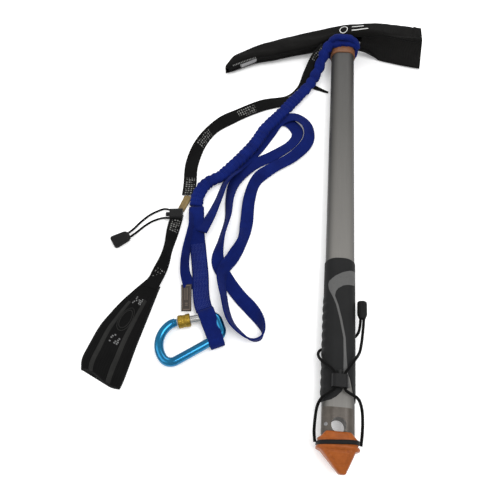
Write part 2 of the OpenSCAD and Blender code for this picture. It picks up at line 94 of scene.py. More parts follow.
# ---- Meshes ----
def add_mesh(name, verts, faces, uv=None, smooth=True):
    data = bpy.data.meshes.new(name)
    data.from_pydata([tuple(map(float, v)) for v in verts], [], [tuple(map(int, f)) for f in faces])
    if uv is not None:
        layer = data.uv_layers.new(name="along")
        loops = np.zeros(len(data.loops), np.int32)
        data.loops.foreach_get("vertex_index", loops)
        layer.data.foreach_set("uv", np.array(uv, np.float32)[loops].ravel())
    data.polygons.foreach_set("use_smooth", [smooth] * len(data.polygons))
    data.update()
    obj = bpy.data.objects.new(name, data)
    bpy.context.scene.collection.objects.link(obj)
    return obj


def dress(obj, body, slot, mat, *nodes):
    """Gives a piece its material and body, and hides the CAD nodes that it stands for; slot is not used."""
    obj.data.materials.clear()
    obj.data.materials.append(mat)
    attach(obj, body)
    if nodes:
        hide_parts(*nodes)
    return obj


def tube_faces(rings, sides, loop=False):
    """Quads between rings of the same number of points, and a cap at each open end."""
    faces = []
    for i in range(rings if loop else rings - 1):
        j = (i + 1) % rings
        for k in range(sides):
            m = (k + 1) % sides
            faces.append((i * sides + k, i * sides + m, j * sides + m, j * sides + k))
    if not loop:
        faces.append(tuple(range(sides - 1, -1, -1)))
        faces.append(tuple((rings - 1) * sides + k for k in range(sides)))
    return faces


def walked(path):
    """The distance along a path at each of its points."""
    return np.concatenate([[0], np.cumsum(np.linalg.norm(np.diff(path[:, :3], axis=0), axis=1))])


def loft(name, place, rings, loop=False, uv=None):
    """A closed skin through rings of the same number of points, given in place's own frame."""
    spots = [spot for ring in rings for spot in ring]
    return add_mesh(name, place(spots), tube_faces(len(rings), len(rings[0]), loop), uv)


def smooth_path(points, step):
    """A smooth curve through the points, in even steps. A fourth column is carried along."""
    p = np.array(points, float)
    p = np.vstack([2 * p[0] - p[1], p, 2 * p[-1] - p[-2]])
    fine = []
    for i in range(1, len(p) - 2):
        a, b, c, d = p[i - 1 : i + 3]
        for t in np.linspace(0, 1, 24, endpoint=False):
            fine.append(0.5 * (2 * b + (c - a) * t + (2 * a - 5 * b + 4 * c - d) * t**2
                               + (3 * b - a - 3 * c + d) * t**3))
    fine.append(p[-2])
    fine = np.array(fine)
    s = walked(fine)
    at = np.linspace(0, s[-1], max(2, int(round(s[-1] / step))) + 1)
    return np.stack([np.interp(at, s, fine[:, k]) for k in range(fine.shape[1])], 1)


def unit(v):
    return v / np.maximum(np.linalg.norm(v, axis=-1, keepdims=True), 1e-12)


def rounded(value, power):
    """A sine or cosine raised to a power with its sign kept, which squares up an ellipse."""
    return math.copysign(abs(value) ** power, value)


def mirrored_uv(rows, cols, step):
    """u across both faces of a flat band of closed rings, and v growing by step from ring to ring."""
    across = np.linspace(0, 1, cols)
    u = np.tile(np.concatenate([across, across[::-1]]), rows)
    return np.stack([u, np.repeat(np.arange(rows) * step, 2 * cols)], 1)


def rolled_frames(path):
    """Tangent, flat side and face normal of a ribbon whose fourth column is its roll in degrees."""
    t = unit(np.gradient(path[:, :3], axis=0))
    side = unit(np.cross(t, [0, 0, 1.0]))
    up = np.cross(side, t)
    roll = np.radians(path[:, 3])[:, None]
    flat = side * np.cos(roll) + up * np.sin(roll)
    return t, flat, np.cross(flat, t)


def carried_frames(path):
    """Tangent and two sides of a round cord, carried along it without twist."""
    t = unit(np.gradient(path[:, :3], axis=0))
    side = np.zeros_like(t)
    side[0] = unit(np.cross(t[0], [0, 0.3, 1.0]))
    for i in range(1, len(t)):
        v = side[i - 1] - t[i] * (side[i - 1] @ t[i])
        side[i] = v / np.linalg.norm(v)
    return t, side, np.cross(side, t)


def sweep(name, path, sections, frames=None, loop=False):
    """A skin through one closed section, a row of (across, up) points in metres, at each path point."""
    _, side, up = frames or rolled_frames(path)
    verts = path[:, None, :3] + side[:, None] * sections[..., :1] + up[:, None] * sections[..., 1:]
    n, m = verts.shape[:2]
    s = walked(path)
    u = np.broadcast_to(np.linspace(0, 1, m)[None], (n, m))
    v = np.broadcast_to(s[:, None], (n, m))
    return add_mesh(name, verts.reshape(-1, 3), tube_faces(n, m, loop), np.stack([u, v], -1).reshape(-1, 2))


WEB_STEPS = 32


def web_sections(path, width, thick, ribs=9, rib_deep=0.00009, hump=0.0):
    """Sections of flat webbing with rounded edges and fine ribs along its length."""
    q = np.linspace(-0.5, 0.5, WEB_STEPS)
    edge = np.clip((0.5 - np.abs(q)) * width / (0.5 * thick), 0, 1)
    half = thick / 2 * np.sqrt(1 - (1 - edge) ** 2)
    ripple = rib_deep * np.cos(q * TAU * ribs) * edge
    bow = hump * (1 - 4 * q**2)
    top = np.stack([q * width, half + ripple + bow], 1)
    under = np.stack([q * width, -half - ripple + bow], 1)[::-1][1:-1]
    section = np.concatenate([top, under])
    return np.broadcast_to(section[None], (len(path), *section.shape)).copy()


def web_uv(obj, rings):
    """Makes u run 0 to 1 across each face of webbing, rather than round it."""
    top = np.linspace(0, 1, WEB_STEPS)
    u = np.concatenate([top, top[::-1][1:-1]])
    loops = np.zeros(len(obj.data.loops), np.int32)
    obj.data.loops.foreach_get("vertex_index", loops)
    uv = np.zeros(len(loops) * 2, np.float32)
    layer = obj.data.uv_layers[0]
    layer.data.foreach_get("uv", uv)
    uv = uv.reshape(-1, 2)
    uv[:, 0] = np.tile(u, rings)[loops]
    layer.data.foreach_set("uv", uv.ravel())


def webbing(name, route, width, thick, step=0.0025, **more):
    path = smooth_path(route, step)
    obj = sweep(name, path, web_sections(path, width, thick, **more))
    web_uv(obj, len(path))
    return obj, path


def round_sections(path, d, sides=12, braid=0.04):
    """Sections of a braided round cord: two crossing spirals stand slightly proud."""
    s = walked(path)
    a = np.linspace(0, TAU, sides, endpoint=False)
    spiral = s[:, None] * TAU / (1.6 * d)
    wave = np.cos(2 * a[None] + spiral) * np.cos(2 * a[None] - spiral)
    r = d / 2 * (1 + braid * (wave - 1))
    return np.stack([r * np.cos(a)[None], r * np.sin(a)[None]], -1)


def cord(name, route, d, step=0.0008):
    path = smooth_path(route, step)
    return sweep(name, path, round_sections(path, d), carried_frames(path)), path


# ---- Materials ----
def new_material(name, rough, metal=0.0, specular=0.5, **sockets):
    mat = bpy.data.materials.new(name)
    mat.use_nodes = True
    shader = mat.node_tree.nodes["Principled BSDF"]
    shader.inputs["Roughness"].default_value = rough
    shader.inputs["Metallic"].default_value = metal
    shader.inputs["Specular IOR Level"].default_value = specular
    for socket, value in sockets.items():
        shader.inputs[socket.replace("_", " ")].default_value = value
    return mat, mat.node_tree, shader


def add_node(tree, kind, inputs=(), **props):
    made = tree.nodes.new(kind)
    for key, value in props.items():
        setattr(made, key, value)
    for key, value in dict(inputs).items():
        if isinstance(value, bpy.types.NodeSocket):
            tree.links.new(value, made.inputs[key])
        else:
            made.inputs[key].default_value = value
    return made


def maths(tree, operation, a, b=0.0):
    return add_node(tree, "ShaderNodeMath", {0: a, 1: b}, operation=operation).outputs[0]


def times(tree, a, b):
    return maths(tree, "MULTIPLY", a, b)


def plus(tree, a, b):
    return maths(tree, "ADD", a, b)


def grain(tree, scale, stretch=(1, 1, 1), detail=4.0):
    """Noise over the object's own coordinates, in cycles a metre, stretched along an axis."""
    place = add_node(tree, "ShaderNodeTexCoord").outputs["Object"]
    scaled = add_node(tree, "ShaderNodeMapping", {"Vector": place, "Scale": stretch}).outputs[0]
    noisy = {"Vector": scaled, "Scale": scale, "Detail": detail, "Roughness": 0.6}
    return add_node(tree, "ShaderNodeTexNoise", noisy).outputs["Fac"]


def grey(level):
    return level, level, level


def ramp(tree, fac, stops):
    """A colour ramp; stops are (position, (r, g, b))."""
    made = add_node(tree, "ShaderNodeValToRGB", {"Fac": fac})
    band = made.color_ramp
    while len(band.elements) < len(stops):
        band.elements.new(0.5)
    for element, (at, colour) in zip(band.elements, stops):
        element.position = at
        element.color = (*colour, 1)
    return made.outputs["Color"]


def mixed(tree, fac, a, b, blend="MIX"):
    made = add_node(tree, "ShaderNodeMix", {"Factor": fac}, data_type="RGBA", blend_type=blend)
    for name, value in (("A", a), ("B", b)):
        socket = next(i for i in made.inputs if i.name == name and i.type == "RGBA")
        if isinstance(value, bpy.types.NodeSocket):
            tree.links.new(value, socket)
        else:
            socket.default_value = (*value, 1)
    return next(o for o in made.outputs if o.type == "RGBA")


def bump(tree, shader, height, strength, distance):
    made = add_node(tree, "ShaderNodeBump", {"Height": height, "Strength": strength, "Distance": distance})
    tree.links.new(made.outputs[0], shader.inputs["Normal"])


def along_uv(tree):
    """u across a ribbon, from 0 to 1, and v along it in metres."""
    uv = add_node(tree, "ShaderNodeTexCoord").outputs["UV"]
    parts = add_node(tree, "ShaderNodeSeparateXYZ", {0: uv})
    return parts.outputs[0], parts.outputs[1]


def waves(tree, value, per_unit):
    """A sine of that many waves a unit, from 0 to 1."""
    turned = maths(tree, "SINE", times(tree, value, TAU * per_unit))
    return plus(tree, times(tree, turned, 0.5), 0.5)


def woven(name, dark, light, ribs=9, pick=0.0011, marks=None):
    """Nylon webbing: ribs along it, picks across it, worn lighter in places. marks adds woven patches."""
    mat, tree, shader = new_material(name, 0.8, specular=0.07, Sheen_Weight=0.03, Sheen_Roughness=0.5)
    u, v = along_uv(tree)
    weave = times(tree, waves(tree, u, ribs * 2), waves(tree, v, 1 / pick))
    patch = grain(tree, 70.0, detail=3.0)
    fine = grain(tree, 900.0, detail=2.0)
    shade = plus(tree, times(tree, weave, 0.45), times(tree, patch, 0.6))
    colour = ramp(tree, shade, [(0.15, dark), (0.85, light)])
    colour = mixed(tree, times(tree, fine, 0.35), colour, tuple(0.5 * c for c in dark))
    if marks:
        colour = mixed(tree, woven_marks(tree, u, v, *marks), colour, (0.19, 0.19, 0.18))
    tree.links.new(colour, shader.inputs["Base Color"])
    height = plus(tree, weave, times(tree, fine, 0.6))
    bump(tree, shader, height, 0.5, 0.00025)
    return mat


def woven_marks(tree, u, v, every, share, cell):
    """Plain woven patches of small blocks: every so many metres along, over a share of that."""
    cycle = maths(tree, "FRACT", maths(tree, "DIVIDE", v, every))
    inside = maths(tree, "LESS_THAN", cycle, share)
    blocks_v = maths(tree, "GREATER_THAN", maths(tree, "FRACT", maths(tree, "DIVIDE", v, cell)), 0.45)
    blocks_u = maths(tree, "GREATER_THAN", maths(tree, "FRACT", times(tree, u, 5.0)), 0.4)
    middle = maths(tree, "LESS_THAN", maths(tree, "ABSOLUTE", maths(tree, "SUBTRACT", u, 0.5)), 0.36)
    broken = maths(tree, "GREATER_THAN", grain(tree, 420.0, detail=1.0), 0.47)
    mask = inside
    for part in (blocks_v, blocks_u, middle, broken):
        mask = times(tree, mask, part)
    return mask


def speckled(name, dark, light, rough, scale=600.0, bump_m=0.0001, metal=0.0, stretch=grey(1), **sockets):
    """A moulded or metal surface: two tones of noise, with roughness and bump from the same grain."""
    mat, tree, shader = new_material(name, rough, metal, **sockets)
    fine = grain(tree, scale, stretch)
    broad = grain(tree, 45.0)
    shade = plus(tree, times(tree, fine, 0.55), times(tree, broad, 0.45))
    tree.links.new(ramp(tree, shade, [(0.3, dark), (0.7, light)]), shader.inputs["Base Color"])
    spread = ramp(tree, fine, [(0.2, (rough * 0.8,) * 3), (0.8, (min(1, rough * 1.2),) * 3)])
    tree.links.new(spread, shader.inputs["Roughness"])
    bump(tree, shader, fine, 0.4, bump_m)
    return mat


def tube_material():
    """Satin grey tube brushed along the shaft, with a painted reflection gradient that darkens it towards
    the head and painted shade where its surface turns away from the top.
    """
    mat, tree, shader = new_material("satin_tube", 0.42, 0.0, specular=0.22)
    coords = add_node(tree, "ShaderNodeTexCoord")
    y = add_node(tree, "ShaderNodeSeparateXYZ", {0: coords.outputs["Object"]}).outputs[1]
    # Painted reflection gradient: the colour runs from dark near the head to light towards the spike.
    up = add_node(tree, "ShaderNodeMapRange", {"Value": y, "From Min": 0.235, "From Max": -0.1}).outputs[0]
    painted_reflection_fade = ramp(tree, up, [(0.0, (0.052, 0.050, 0.047)), (0.35, (0.085, 0.082, 0.076)),
                           (1.0, (0.190, 0.183, 0.170))])
    # Painted shade: the colour is multiplied darker where the surface normal turns away from straight up.
    rise = add_node(tree, "ShaderNodeSeparateXYZ", {0: coords.outputs["Normal"]}).outputs[2]
    turned = ramp(tree, rise, [(0.0, grey(0.20)), (0.55, grey(0.36)), (0.93, grey(1.0))])
    colour = mixed(tree, 1.0, painted_reflection_fade, turned, "MULTIPLY")
    brushed = grain(tree, 30.0, (60, 1, 60), detail=6.0)
    colour = mixed(tree, times(tree, brushed, 0.3), colour, grey(0.03))
    tree.links.new(colour, shader.inputs["Base Color"])
    tree.links.new(ramp(tree, brushed, [(0.2, grey(0.36)), (0.8, grey(0.5))]), shader.inputs["Roughness"])
    bump(tree, shader, brushed, 0.15, 0.00003)
    return mat


def nylon_material():
    """Black pack cloth: a fine square weave, dusty at the high spots."""
    mat, tree, shader = new_material("pack_cloth", 0.66, specular=0.08, Sheen_Weight=0.01,
                                     Sheen_Roughness=0.5)
    place = add_node(tree, "ShaderNodeTexCoord").outputs["Object"]
    parts = add_node(tree, "ShaderNodeSeparateXYZ", {0: place})
    threads = times(tree, waves(tree, parts.outputs[0], 1400), waves(tree, parts.outputs[1], 1400))
    dust = grain(tree, 40.0, detail=6.0)
    shade = plus(tree, times(tree, threads, 0.35), times(tree, dust, 0.65))
    colour = ramp(tree, shade, [(0.25, (0.0018, 0.0016, 0.0015)), (0.75, (0.0060, 0.0056, 0.0050))])
    tree.links.new(colour, shader.inputs["Base Color"])
    bump(tree, shader, plus(tree, threads, dust), 0.35, 0.0002)
    return mat


BLUE_DARK, BLUE_LIGHT = (0.0010, 0.0045, 0.060), (0.0045, 0.018, 0.170)
blue_web = woven("blue_webbing", BLUE_DARK, BLUE_LIGHT)
blue_ruched = woven("blue_elastic", BLUE_DARK, (0.0055, 0.021, 0.200), ribs=14, pick=0.0016)
black_web = woven("black_webbing", grey(0.002), (0.007, 0.007, 0.0068), marks=(0.075, 0.34, 0.0032))
black_plain = woven("black_webbing_plain", grey(0.002), grey(0.006))
grey_band = woven("grey_webbing", (0.014, 0.014, 0.0135), (0.034, 0.034, 0.032))
black_cord = woven("black_cord", grey(0.0012), grey(0.005), ribs=6, pick=0.0016)
cloth = nylon_material()
tube = tube_material()
orange_ring = speckled("orange_ring", (0.12, 0.048, 0.020), (0.20, 0.083, 0.036), 0.45, specular=0.25)
grip_rubber = speckled("grip_rubber", (0.0070, 0.0072, 0.0074), (0.0125, 0.0128, 0.0132), 0.62,
                       900.0, 0.00015, specular=0.14)
inlay_rubber = speckled("inlay_rubber", (0.075, 0.075, 0.074), (0.105, 0.105, 0.103), 0.6, 900.0, 0.0001,
                        specular=0.15)
steel = speckled("forged_steel", (0.16, 0.16, 0.165), (0.28, 0.28, 0.285), 0.36, 160.0, 0.00004, 0.95,
                 (1, 12, 1))
ferrule_steel = speckled("cast_ferrule", (0.045, 0.037, 0.030), (0.088, 0.075, 0.063), 0.40, 260.0,
                         0.00005, 0.35)
cap_rubber = speckled("orange_rubber", (0.20, 0.046, 0.005), (0.33, 0.085, 0.013), 0.40, 350.0, 0.00012, 0.0,
                      specular=0.16, Coat_Weight=0.05, Coat_Roughness=0.35)
black_rubber = speckled("black_rubber", grey(0.003), grey(0.008), 0.6, 700.0, 0.0001, specular=0.15)
black_plastic = speckled("black_plastic", (0.003, 0.003, 0.0032), (0.008, 0.008, 0.0085), 0.5,
                         700.0, 0.00008, specular=0.18)
grey_plastic = speckled("grey_plastic", grey(0.006), grey(0.011), 0.5, 700.0, 0.00008, specular=0.18)
anodised = speckled("blue_anodised", (0.001, 0.100, 0.240), (0.003, 0.190, 0.370), 0.18, 120.0, 0.00001, 0.9,
                    Coat_Weight=0.4, Coat_Roughness=0.08)
polished = speckled("polished_gate", (0.34, 0.34, 0.33), (0.50, 0.50, 0.49), 0.24, 120.0, 0.00002, 1.0,
                    (1, 8, 1))
gold = speckled("gold_sleeve", (0.19, 0.115, 0.008), (0.31, 0.20, 0.020), 0.30, 300.0, 0.00004, 0.75)
tan = speckled("tan_keeper", (0.10, 0.060, 0.013), (0.22, 0.150, 0.045), 0.5, 260.0, 0.0001)
wire = speckled("spring_wire", grey(0.45), grey(0.6), 0.3, 300.0, 0.00002, 1.0)
tag_cloth = speckled("tag_cloth", (0.010, 0.007, 0.005), (0.030, 0.020, 0.014), 0.7, 900.0, 0.0001)
tag_print = speckled("tag_print", (0.08, 0.060, 0.045), (0.14, 0.105, 0.08), 0.7, 900.0, 0.0001)
white_print = speckled("white_print", (0.55, 0.55, 0.53), (0.78, 0.78, 0.76), 0.6, 900.0, 0.00005)
grey_print = speckled("grey_print", grey(0.10), grey(0.18), 0.5, 900.0, 0.00002)
zip_metal = speckled("zip_teeth", grey(0.10), (0.24, 0.24, 0.23), 0.4, 400.0, 0.00005, 0.4)
thread = speckled("blue_thread", (0.003, 0.009, 0.10), (0.010, 0.028, 0.20), 0.7, 900.0, 0.0001)

# ---- Tether: the routes are those of the CAD solids, in millimetres ----
elastic_route = [
    [-4, 545, 30, 0], [-13, 546, 29, 0], [-22, 542, 26, 0], [-28, 527, 19, 0], [-34, 507, 11, 0],
    [-44, 484, 8, 0], [-60, 458, 8, 0], [-78, 430, 7, 0], [-96, 403, 7, 0], [-110, 372, 7, 0],
    [-126, 346, 7, 0], [-143, 322, 7, 0], [-160, 308, 7, 0], [-168, 292, 6, 0], [-169, 274, 6, 0],
]
left_route = [
    [-169, 272, 2, 10], [-168, 246, 8, 60], [-170, 210, 9, 65], [-167, 186, 8, 50], [-158, 168, 4, 10],
]
sewn_route = [
    [-168, 272, 6, 0], [-163, 240, 5.5, 0], [-157, 214, 4, 0], [-151, 188, 4, 0], [-147, 166, 5, 0],
    [-143.5, 153, 7, 0], [-139.5, 143.5, 8, 0],
]
sling_route = [
    [-157, 238, 9, 15], [-149, 262, 8, 35], [-143, 286, 8, 50], [-137, 312, 8, 50], [-124, 340, 3, 10],
    [-106, 368, 1.6, 0], [-92, 396, 1.6, 0], [-80, 418, 4, 0], [-60, 426, 6, 10], [-43, 412, 7, 20],
    [-41, 387, 6, 20], [-58, 362, 4, 5], [-84, 340, 4, 5], [-101, 318, 7, 40], [-107, 290, 6, 25],
    [-107, 258, 5, 15], [-109, 232, 8, 50], [-117, 211, 7, 30], [-127, 188, 8, 50], [-121, 160, 8, 65],
    [-112, 136, 8.5, 65], [-99, 123, 8, 70], [-87, 117, 8.2, 78], [-78, 120, 8.4, 86],
    [-76, 129, 8.2, 80], [-82, 141, 6.5, 50], [-93, 154, 3.5, 20], [-105, 166, 1.6, 0],
    [-122, 186, 1.6, 0], [-134, 206, 4, 20], [-133, 232, 8, 60], [-129, 262, 8, 60], [-130, 290, 7, 45],
    [-126, 318, 2.5, 10], [-108, 344, 1.6, 0], [-84, 362, 1.6, 0], [-62, 382, 3, 15], [-55, 402, 3, 15],
    [-68, 419, 2, 0], [-88, 420, 1.6, 0],
]


def elastic_sections(path, width, thick, coarse_to=0.36):
    """Ruched tubular webbing: bulges near the hitch, then a finer scalloped edge."""
    sides = 30
    s = walked(path)
    a = np.linspace(0, TAU, sides, endpoint=False)
    share = np.clip(s / s[-1], 0, 1)[:, None]
    coarse = np.clip((coarse_to - share) / 0.12, 0, 1) if coarse_to else 0.35 + 0 * share
    sway = np.array([noise.noise(Vector((v * 60, 3.0, 0.5))) for v in s])[:, None]
    phase = s[:, None] * TAU / 0.0145 + 2.5 * sway
    fine_phase = s[:, None] * TAU / 0.0066 + 3.0 * sway
    bulge = np.abs(np.sin(phase / 2 + 0.45 * np.cos(a)[None]))
    scallop = np.abs(np.sin(fine_phase / 2 + 0.9 * np.sin(a)[None] + 0.6 * np.cos(a)[None]))
    folds = coarse * (bulge - 0.6) * 0.30 + (1 - coarse) * (scallop - 0.6) * 0.17
    round_it = 1.7 * np.stack([np.cos(a), np.sin(a)], 1)
    lumps = np.array([[noise.noise(Vector((v * 240, c, d))) for c, d in round_it] for v in s])
    radius = 1 + folds + 0.09 * lumps
    x = np.sign(np.cos(a)) * np.abs(np.cos(a)) ** 0.75 * width / 2
    y = np.sign(np.sin(a)) * np.abs(np.sin(a)) ** 0.75 * thick / 2
    return np.stack([x[None] * radius * (1 + 0.10 * (1 - coarse)), y[None] * radius], -1)


path = smooth_path(floor_points(elastic_route), 0.0009)
elastic = sweep("tether_elastic_arm", path, elastic_sections(path, 0.0138, 0.0072))
dress(elastic, "axe", "tether", blue_ruched, "tether_elastic")

# ---- Wrist leash: webbing, strap and cords ----
wrist_route = [
    [-25, 546, 21, 30], [-37, 530, 15, 30], [-45, 507, 8, 20], [-52, 484, 2, 0], [-70, 461, 1.6, 0],
    [-104, 445, 4, 20], [-136, 424, 4, 20], [-161, 398, 8, 60], [-177, 369, 7, 45], [-184, 338, 3, 10],
    [-182, 308, 1.6, 0], [-181, 291, 2.5, 0],
]
strap_route = [
    [-189.5, 262, 3, 0], [-190, 254, 3, 5], [-190.5, 235, 6, 35], [-191, 214, 8, 60],
    [-193, 196, 7, 45], [-199, 176, 4, 5], [-201, 167, 4, 0],
]
STRANDS = (
    ("tether_left_strand", left_route, 0.0155, 0.0018, {}, "tether", blue_web, ("tether_left",)),
    ("tether_stitched_strand", sewn_route, 0.018, 0.0034, {"ribs": 10, "hump": 0.0004}, "tether", blue_web,
     ("tether_sewn",)),
    ("tether_long_sling", sling_route, 0.0155, 0.0018, {"hump": 0.0002}, "tether", blue_web,
     ("sling_upper", "sling_lower")),
    ("wrist_leash_webbing", wrist_route, 0.016, 0.0014, {"ribs": 8}, "leash", black_web, ("wrist_webbing",)),
    ("wrist_leash_strap", strap_route, 0.015, 0.0014, {"ribs": 8}, "leash", black_web, ("wrist_strap",)),
)
for name, route, width, thick, surface, slot, mat, nodes in STRANDS:
    strand, path = webbing(name, floor_points(route), width, thick, **surface)
    dress(strand, "axe", slot, mat, *nodes)
    if name == "tether_stitched_strand":
        sewn_path = path

CORD = 0.003
cap_left = [
    [-20.6, 25, 3], [-21.5, 34, 2], [-21, 45, 1], [-19.6, 56, 3], [-16, 63, 9], [-9, 68, 14.4],
    [-4.7, 72, 16.1], [-4.7, 85, 16.1], [-9, 91, 14.8], [-16, 97, 9.5], [-20, 105, 2], [-18, 113, -8],
    [-10.5, 118, -13], [2, 124, -13.9], [13, 128, -12], [19, 132, -5], [20.8, 138, 0], [21.5, 146, 1],
]
cap_right = [
    [20.6, 25, 3], [22, 36, 2], [22.6, 48, 1], [21.5, 58, 3], [17.5, 65, 9], [9, 68.5, 14.4],
    [4.7, 72, 16.1], [4.7, 85, 16.1], [9, 92, 14.8], [14.5, 101, 11.5], [19.5, 110, 6], [22, 121, 3],
    [23.5, 134, 3], [24.5, 146, 3],
]
lock_a = [
    [-198.6, 266.2, 5], [-206, 267, 4.5], [-215, 264, 2], [-223, 258, 1.5], [-231, 248, 1.5],
    [-237, 238, 2], [-241.5, 230.5, 4],
]
lock_b = [
    [-197.3, 255.1, 5], [-204.5, 254.6, 4.5], [-212, 253.5, 2], [-219, 249.5, 1.5], [-226.5, 242, 1.5],
    [-232.5, 234, 2], [-237.5, 226.5, 4],
]
for name, route, place, d, body, node in (
    ("cap_cord_left_strand", cap_left, axe_points, CORD, "cap", "cap_cord_left"),
    ("cap_cord_right_strand", cap_right, axe_points, CORD, "cap", "cap_cord_right"),
    ("wrist_cord_upper", lock_a, floor_points, 0.0026, "axe", "wrist_cord_a"),
    ("wrist_cord_lower", lock_b, floor_points, 0.0026, "axe", "wrist_cord_b"),
):
    strand, path = cord(name, place(route), d)
    dress(strand, body, "cord", black_cord, node)


# ---- Hitch: the tether's tube goes twice round the neck, with a bight over it ----
def scrunched(name, points, width, thick, loop=False, step=0.0009):
    """A length of ruched tube along points of the axe's frame, its flat side along the shaft."""
    path = smooth_path(axe_points(points), step)
    if loop:
        path = path[:-1]
    t = unit(np.gradient(path[:, :3], axis=0))
    side = unit(np.array(axe_along)[None] - t * (t @ np.array(axe_along))[:, None])
    sections = elastic_sections(np.hstack([path[:, :3], np.zeros((len(path), 1))]), width, thick, 0.0)
    return sweep(name, path, sections, (t, side, np.cross(side, t)), loop)


def neck_ring(y, half_x, half_z, wave):
    """A closed loop round the neck, weaving a little along the shaft."""
    turn = np.linspace(0, TAU, 29)
    square = 2 / 3.2
    x = half_x * np.sign(np.cos(turn)) * np.abs(np.cos(turn)) ** square
    z = half_z * np.sign(np.sin(turn)) * np.abs(np.sin(turn)) ** square
    return np.stack([x, y + wave * np.cos(2 * turn), z, 0 * turn], 1)


def joined(name, parts):
    """One object from several meshes."""
    verts, faces, uv, start = [], [], [], 0
    for part in parts:
        mesh = part.data
        verts += [tuple(v.co) for v in mesh.vertices]
        faces += [tuple(start + i for i in f.vertices) for f in mesh.polygons]
        flat = np.zeros((len(mesh.vertices), 2))
        if mesh.uv_layers:
            for loop, item in zip(mesh.loops, mesh.uv_layers[0].data):
                flat[loop.vertex_index] = item.uv
        uv += flat.tolist()
        start += len(mesh.vertices)
        bpy.data.objects.remove(part)
    return add_mesh(name, verts, faces, uv)


bight = [
    [-20, 548, 7, 0], [-17.5, 549.5, 14, 0], [-10, 551.5, 17.6, 0], [0, 550.5, 18.2, 0],
    [9, 549.5, 17.6, 0], [17.5, 546.5, 13, 0], [20, 545, 6, 0],
]
hitch = joined("tether_girth_hitch", [
    scrunched("loop_low", neck_ring(544.6, 18.3, 13.2, 0.5), 0.0068, 0.0058, True),
    scrunched("loop_high", neck_ring(551.4, 18.3, 13.2, -0.5), 0.0068, 0.0058, True),
    scrunched("bight", bight, 0.0092, 0.0062),
])
dress(hitch, "axe", "tether", blue_ruched, "tether_hitch")


# ---- Sewn eye: webbing round the gate and the spine of the carabiner ----
BAR_Z = 7
EYE_START, EYE_ANGLE = (-140, 147), -64
EYE_NEAR, EYE_FAR, EYE_R, EYE_SAG = 8.5, 38.5, 6.2, 3.2
EYE_WIDE, EYE_TAPER, EYE_HALF_THICK = 17.6, 2.2, 0.8
eye_way = np.array([math.cos(math.radians(EYE_ANGLE)), math.sin(math.radians(EYE_ANGLE))])
eye_side = np.array([-eye_way[1], eye_way[0]])


def racetrack_path():
    """The eye's middle line in its own plane, as (distance along the eye, height)."""
    bend, run = np.linspace(0, math.pi, 25), np.linspace(0, 1, 20, endpoint=False)[1:]
    straight = (EYE_FAR - EYE_NEAR) * run
    far = np.stack([EYE_FAR + EYE_R * np.sin(bend), BAR_Z + EYE_R * np.cos(bend)], 1)
    near = np.stack([EYE_NEAR - EYE_R * np.sin(bend), BAR_Z - EYE_R * np.cos(bend)], 1)
    top = np.stack([EYE_NEAR + straight, BAR_Z + EYE_R - EYE_SAG * np.sin(math.pi * run) ** 2], 1)
    low = np.stack([EYE_FAR - straight, 0 * run + BAR_Z - EYE_R], 1)
    return np.concatenate([far, low, near, top])


track = racetrack_path()
rows, heads = len(track), np.linspace(-0.5, 0.5, WEB_STEPS)
outward = unit(np.stack([-np.gradient(track[:, 1]), np.gradient(track[:, 0])], 1))
eye_verts = []
for (along, up), (nx, nz) in zip(track, outward):
    narrow = EYE_WIDE - EYE_TAPER * max(0.0, (along - EYE_NEAR) / (EYE_FAR - EYE_NEAR))
    for face in (1, -1):
        for q in heads if face > 0 else heads[::-1][1:-1]:
            rim = min(1.0, (0.5 - abs(q)) * narrow / EYE_HALF_THICK)
            ripple = 0.09 * math.cos(q * TAU * 10) * rim
            lift = face * (EYE_HALF_THICK * math.sqrt(1 - (1 - rim) ** 2) + ripple)
            spot = np.array(EYE_START) + eye_way * (along + nx * lift) + eye_side * q * narrow
            eye_verts.append((spot[0], spot[1], up + nz * lift))
eye_across = np.concatenate([np.linspace(0, 1, WEB_STEPS), np.linspace(1, 0, WEB_STEPS)[1:-1]])
eye_uv = np.stack([np.tile(eye_across, rows), np.repeat(np.arange(rows) * 0.0012, 2 * WEB_STEPS - 2)], 1)
eye_faces = tube_faces(rows, 2 * WEB_STEPS - 2, True)
sewn_eye = add_mesh("tether_sewn_eye", floor_points(eye_verts), eye_faces, eye_uv)
dress(sewn_eye, "axe", "tether", blue_web, "tether_eye")


# ---- Bar tacks: zigzag rows of thread on the stitched strand ----
TACK_ROWS, TACK_GAP, TACK_STEP, TACK_SWING, TACK_PROUD = 9, 0.00165, 0.0016, 0.00045, 0.00205
TACKS_FROM, TACKS_SHORT, THREAD_D = 0.048, 0.002, 0.00045


def thread_run(points):
    path = smooth_path(points, 0.0006)
    return sweep("thread", path, round_sections(path, THREAD_D, 6, 0.0), carried_frames(path))


_, flat_axis, face_axis = rolled_frames(sewn_path)
sewn_walk = walked(sewn_path)
runs = []
for row in range(TACK_ROWS):
    across = (row - TACK_ROWS // 2) * TACK_GAP
    spots = []
    for k, at in enumerate(np.arange(TACKS_FROM, sewn_walk[-1] - TACKS_SHORT, TACK_STEP)):
        i = int(np.searchsorted(sewn_walk, at))
        swing = across + (TACK_SWING if k % 2 else -TACK_SWING)
        spots.append([*(sewn_path[i, :3] + flat_axis[i] * swing + face_axis[i] * TACK_PROUD), 0])
    runs.append(thread_run(spots))
tacks = joined("tether_bar_tacks", runs)
dress(tacks, "axe", "tether", thread)


# ---- Label tag: a small cloth tag with a stitched border and plain stripes ----
def between(corners, u, v):
    """The place u across and v along a patch with four corners."""
    a, b, c, d = (np.array(p, float) for p in corners)
    return (a * (1 - u) + b * u) * (1 - v) + (d * (1 - u) + c * u) * v


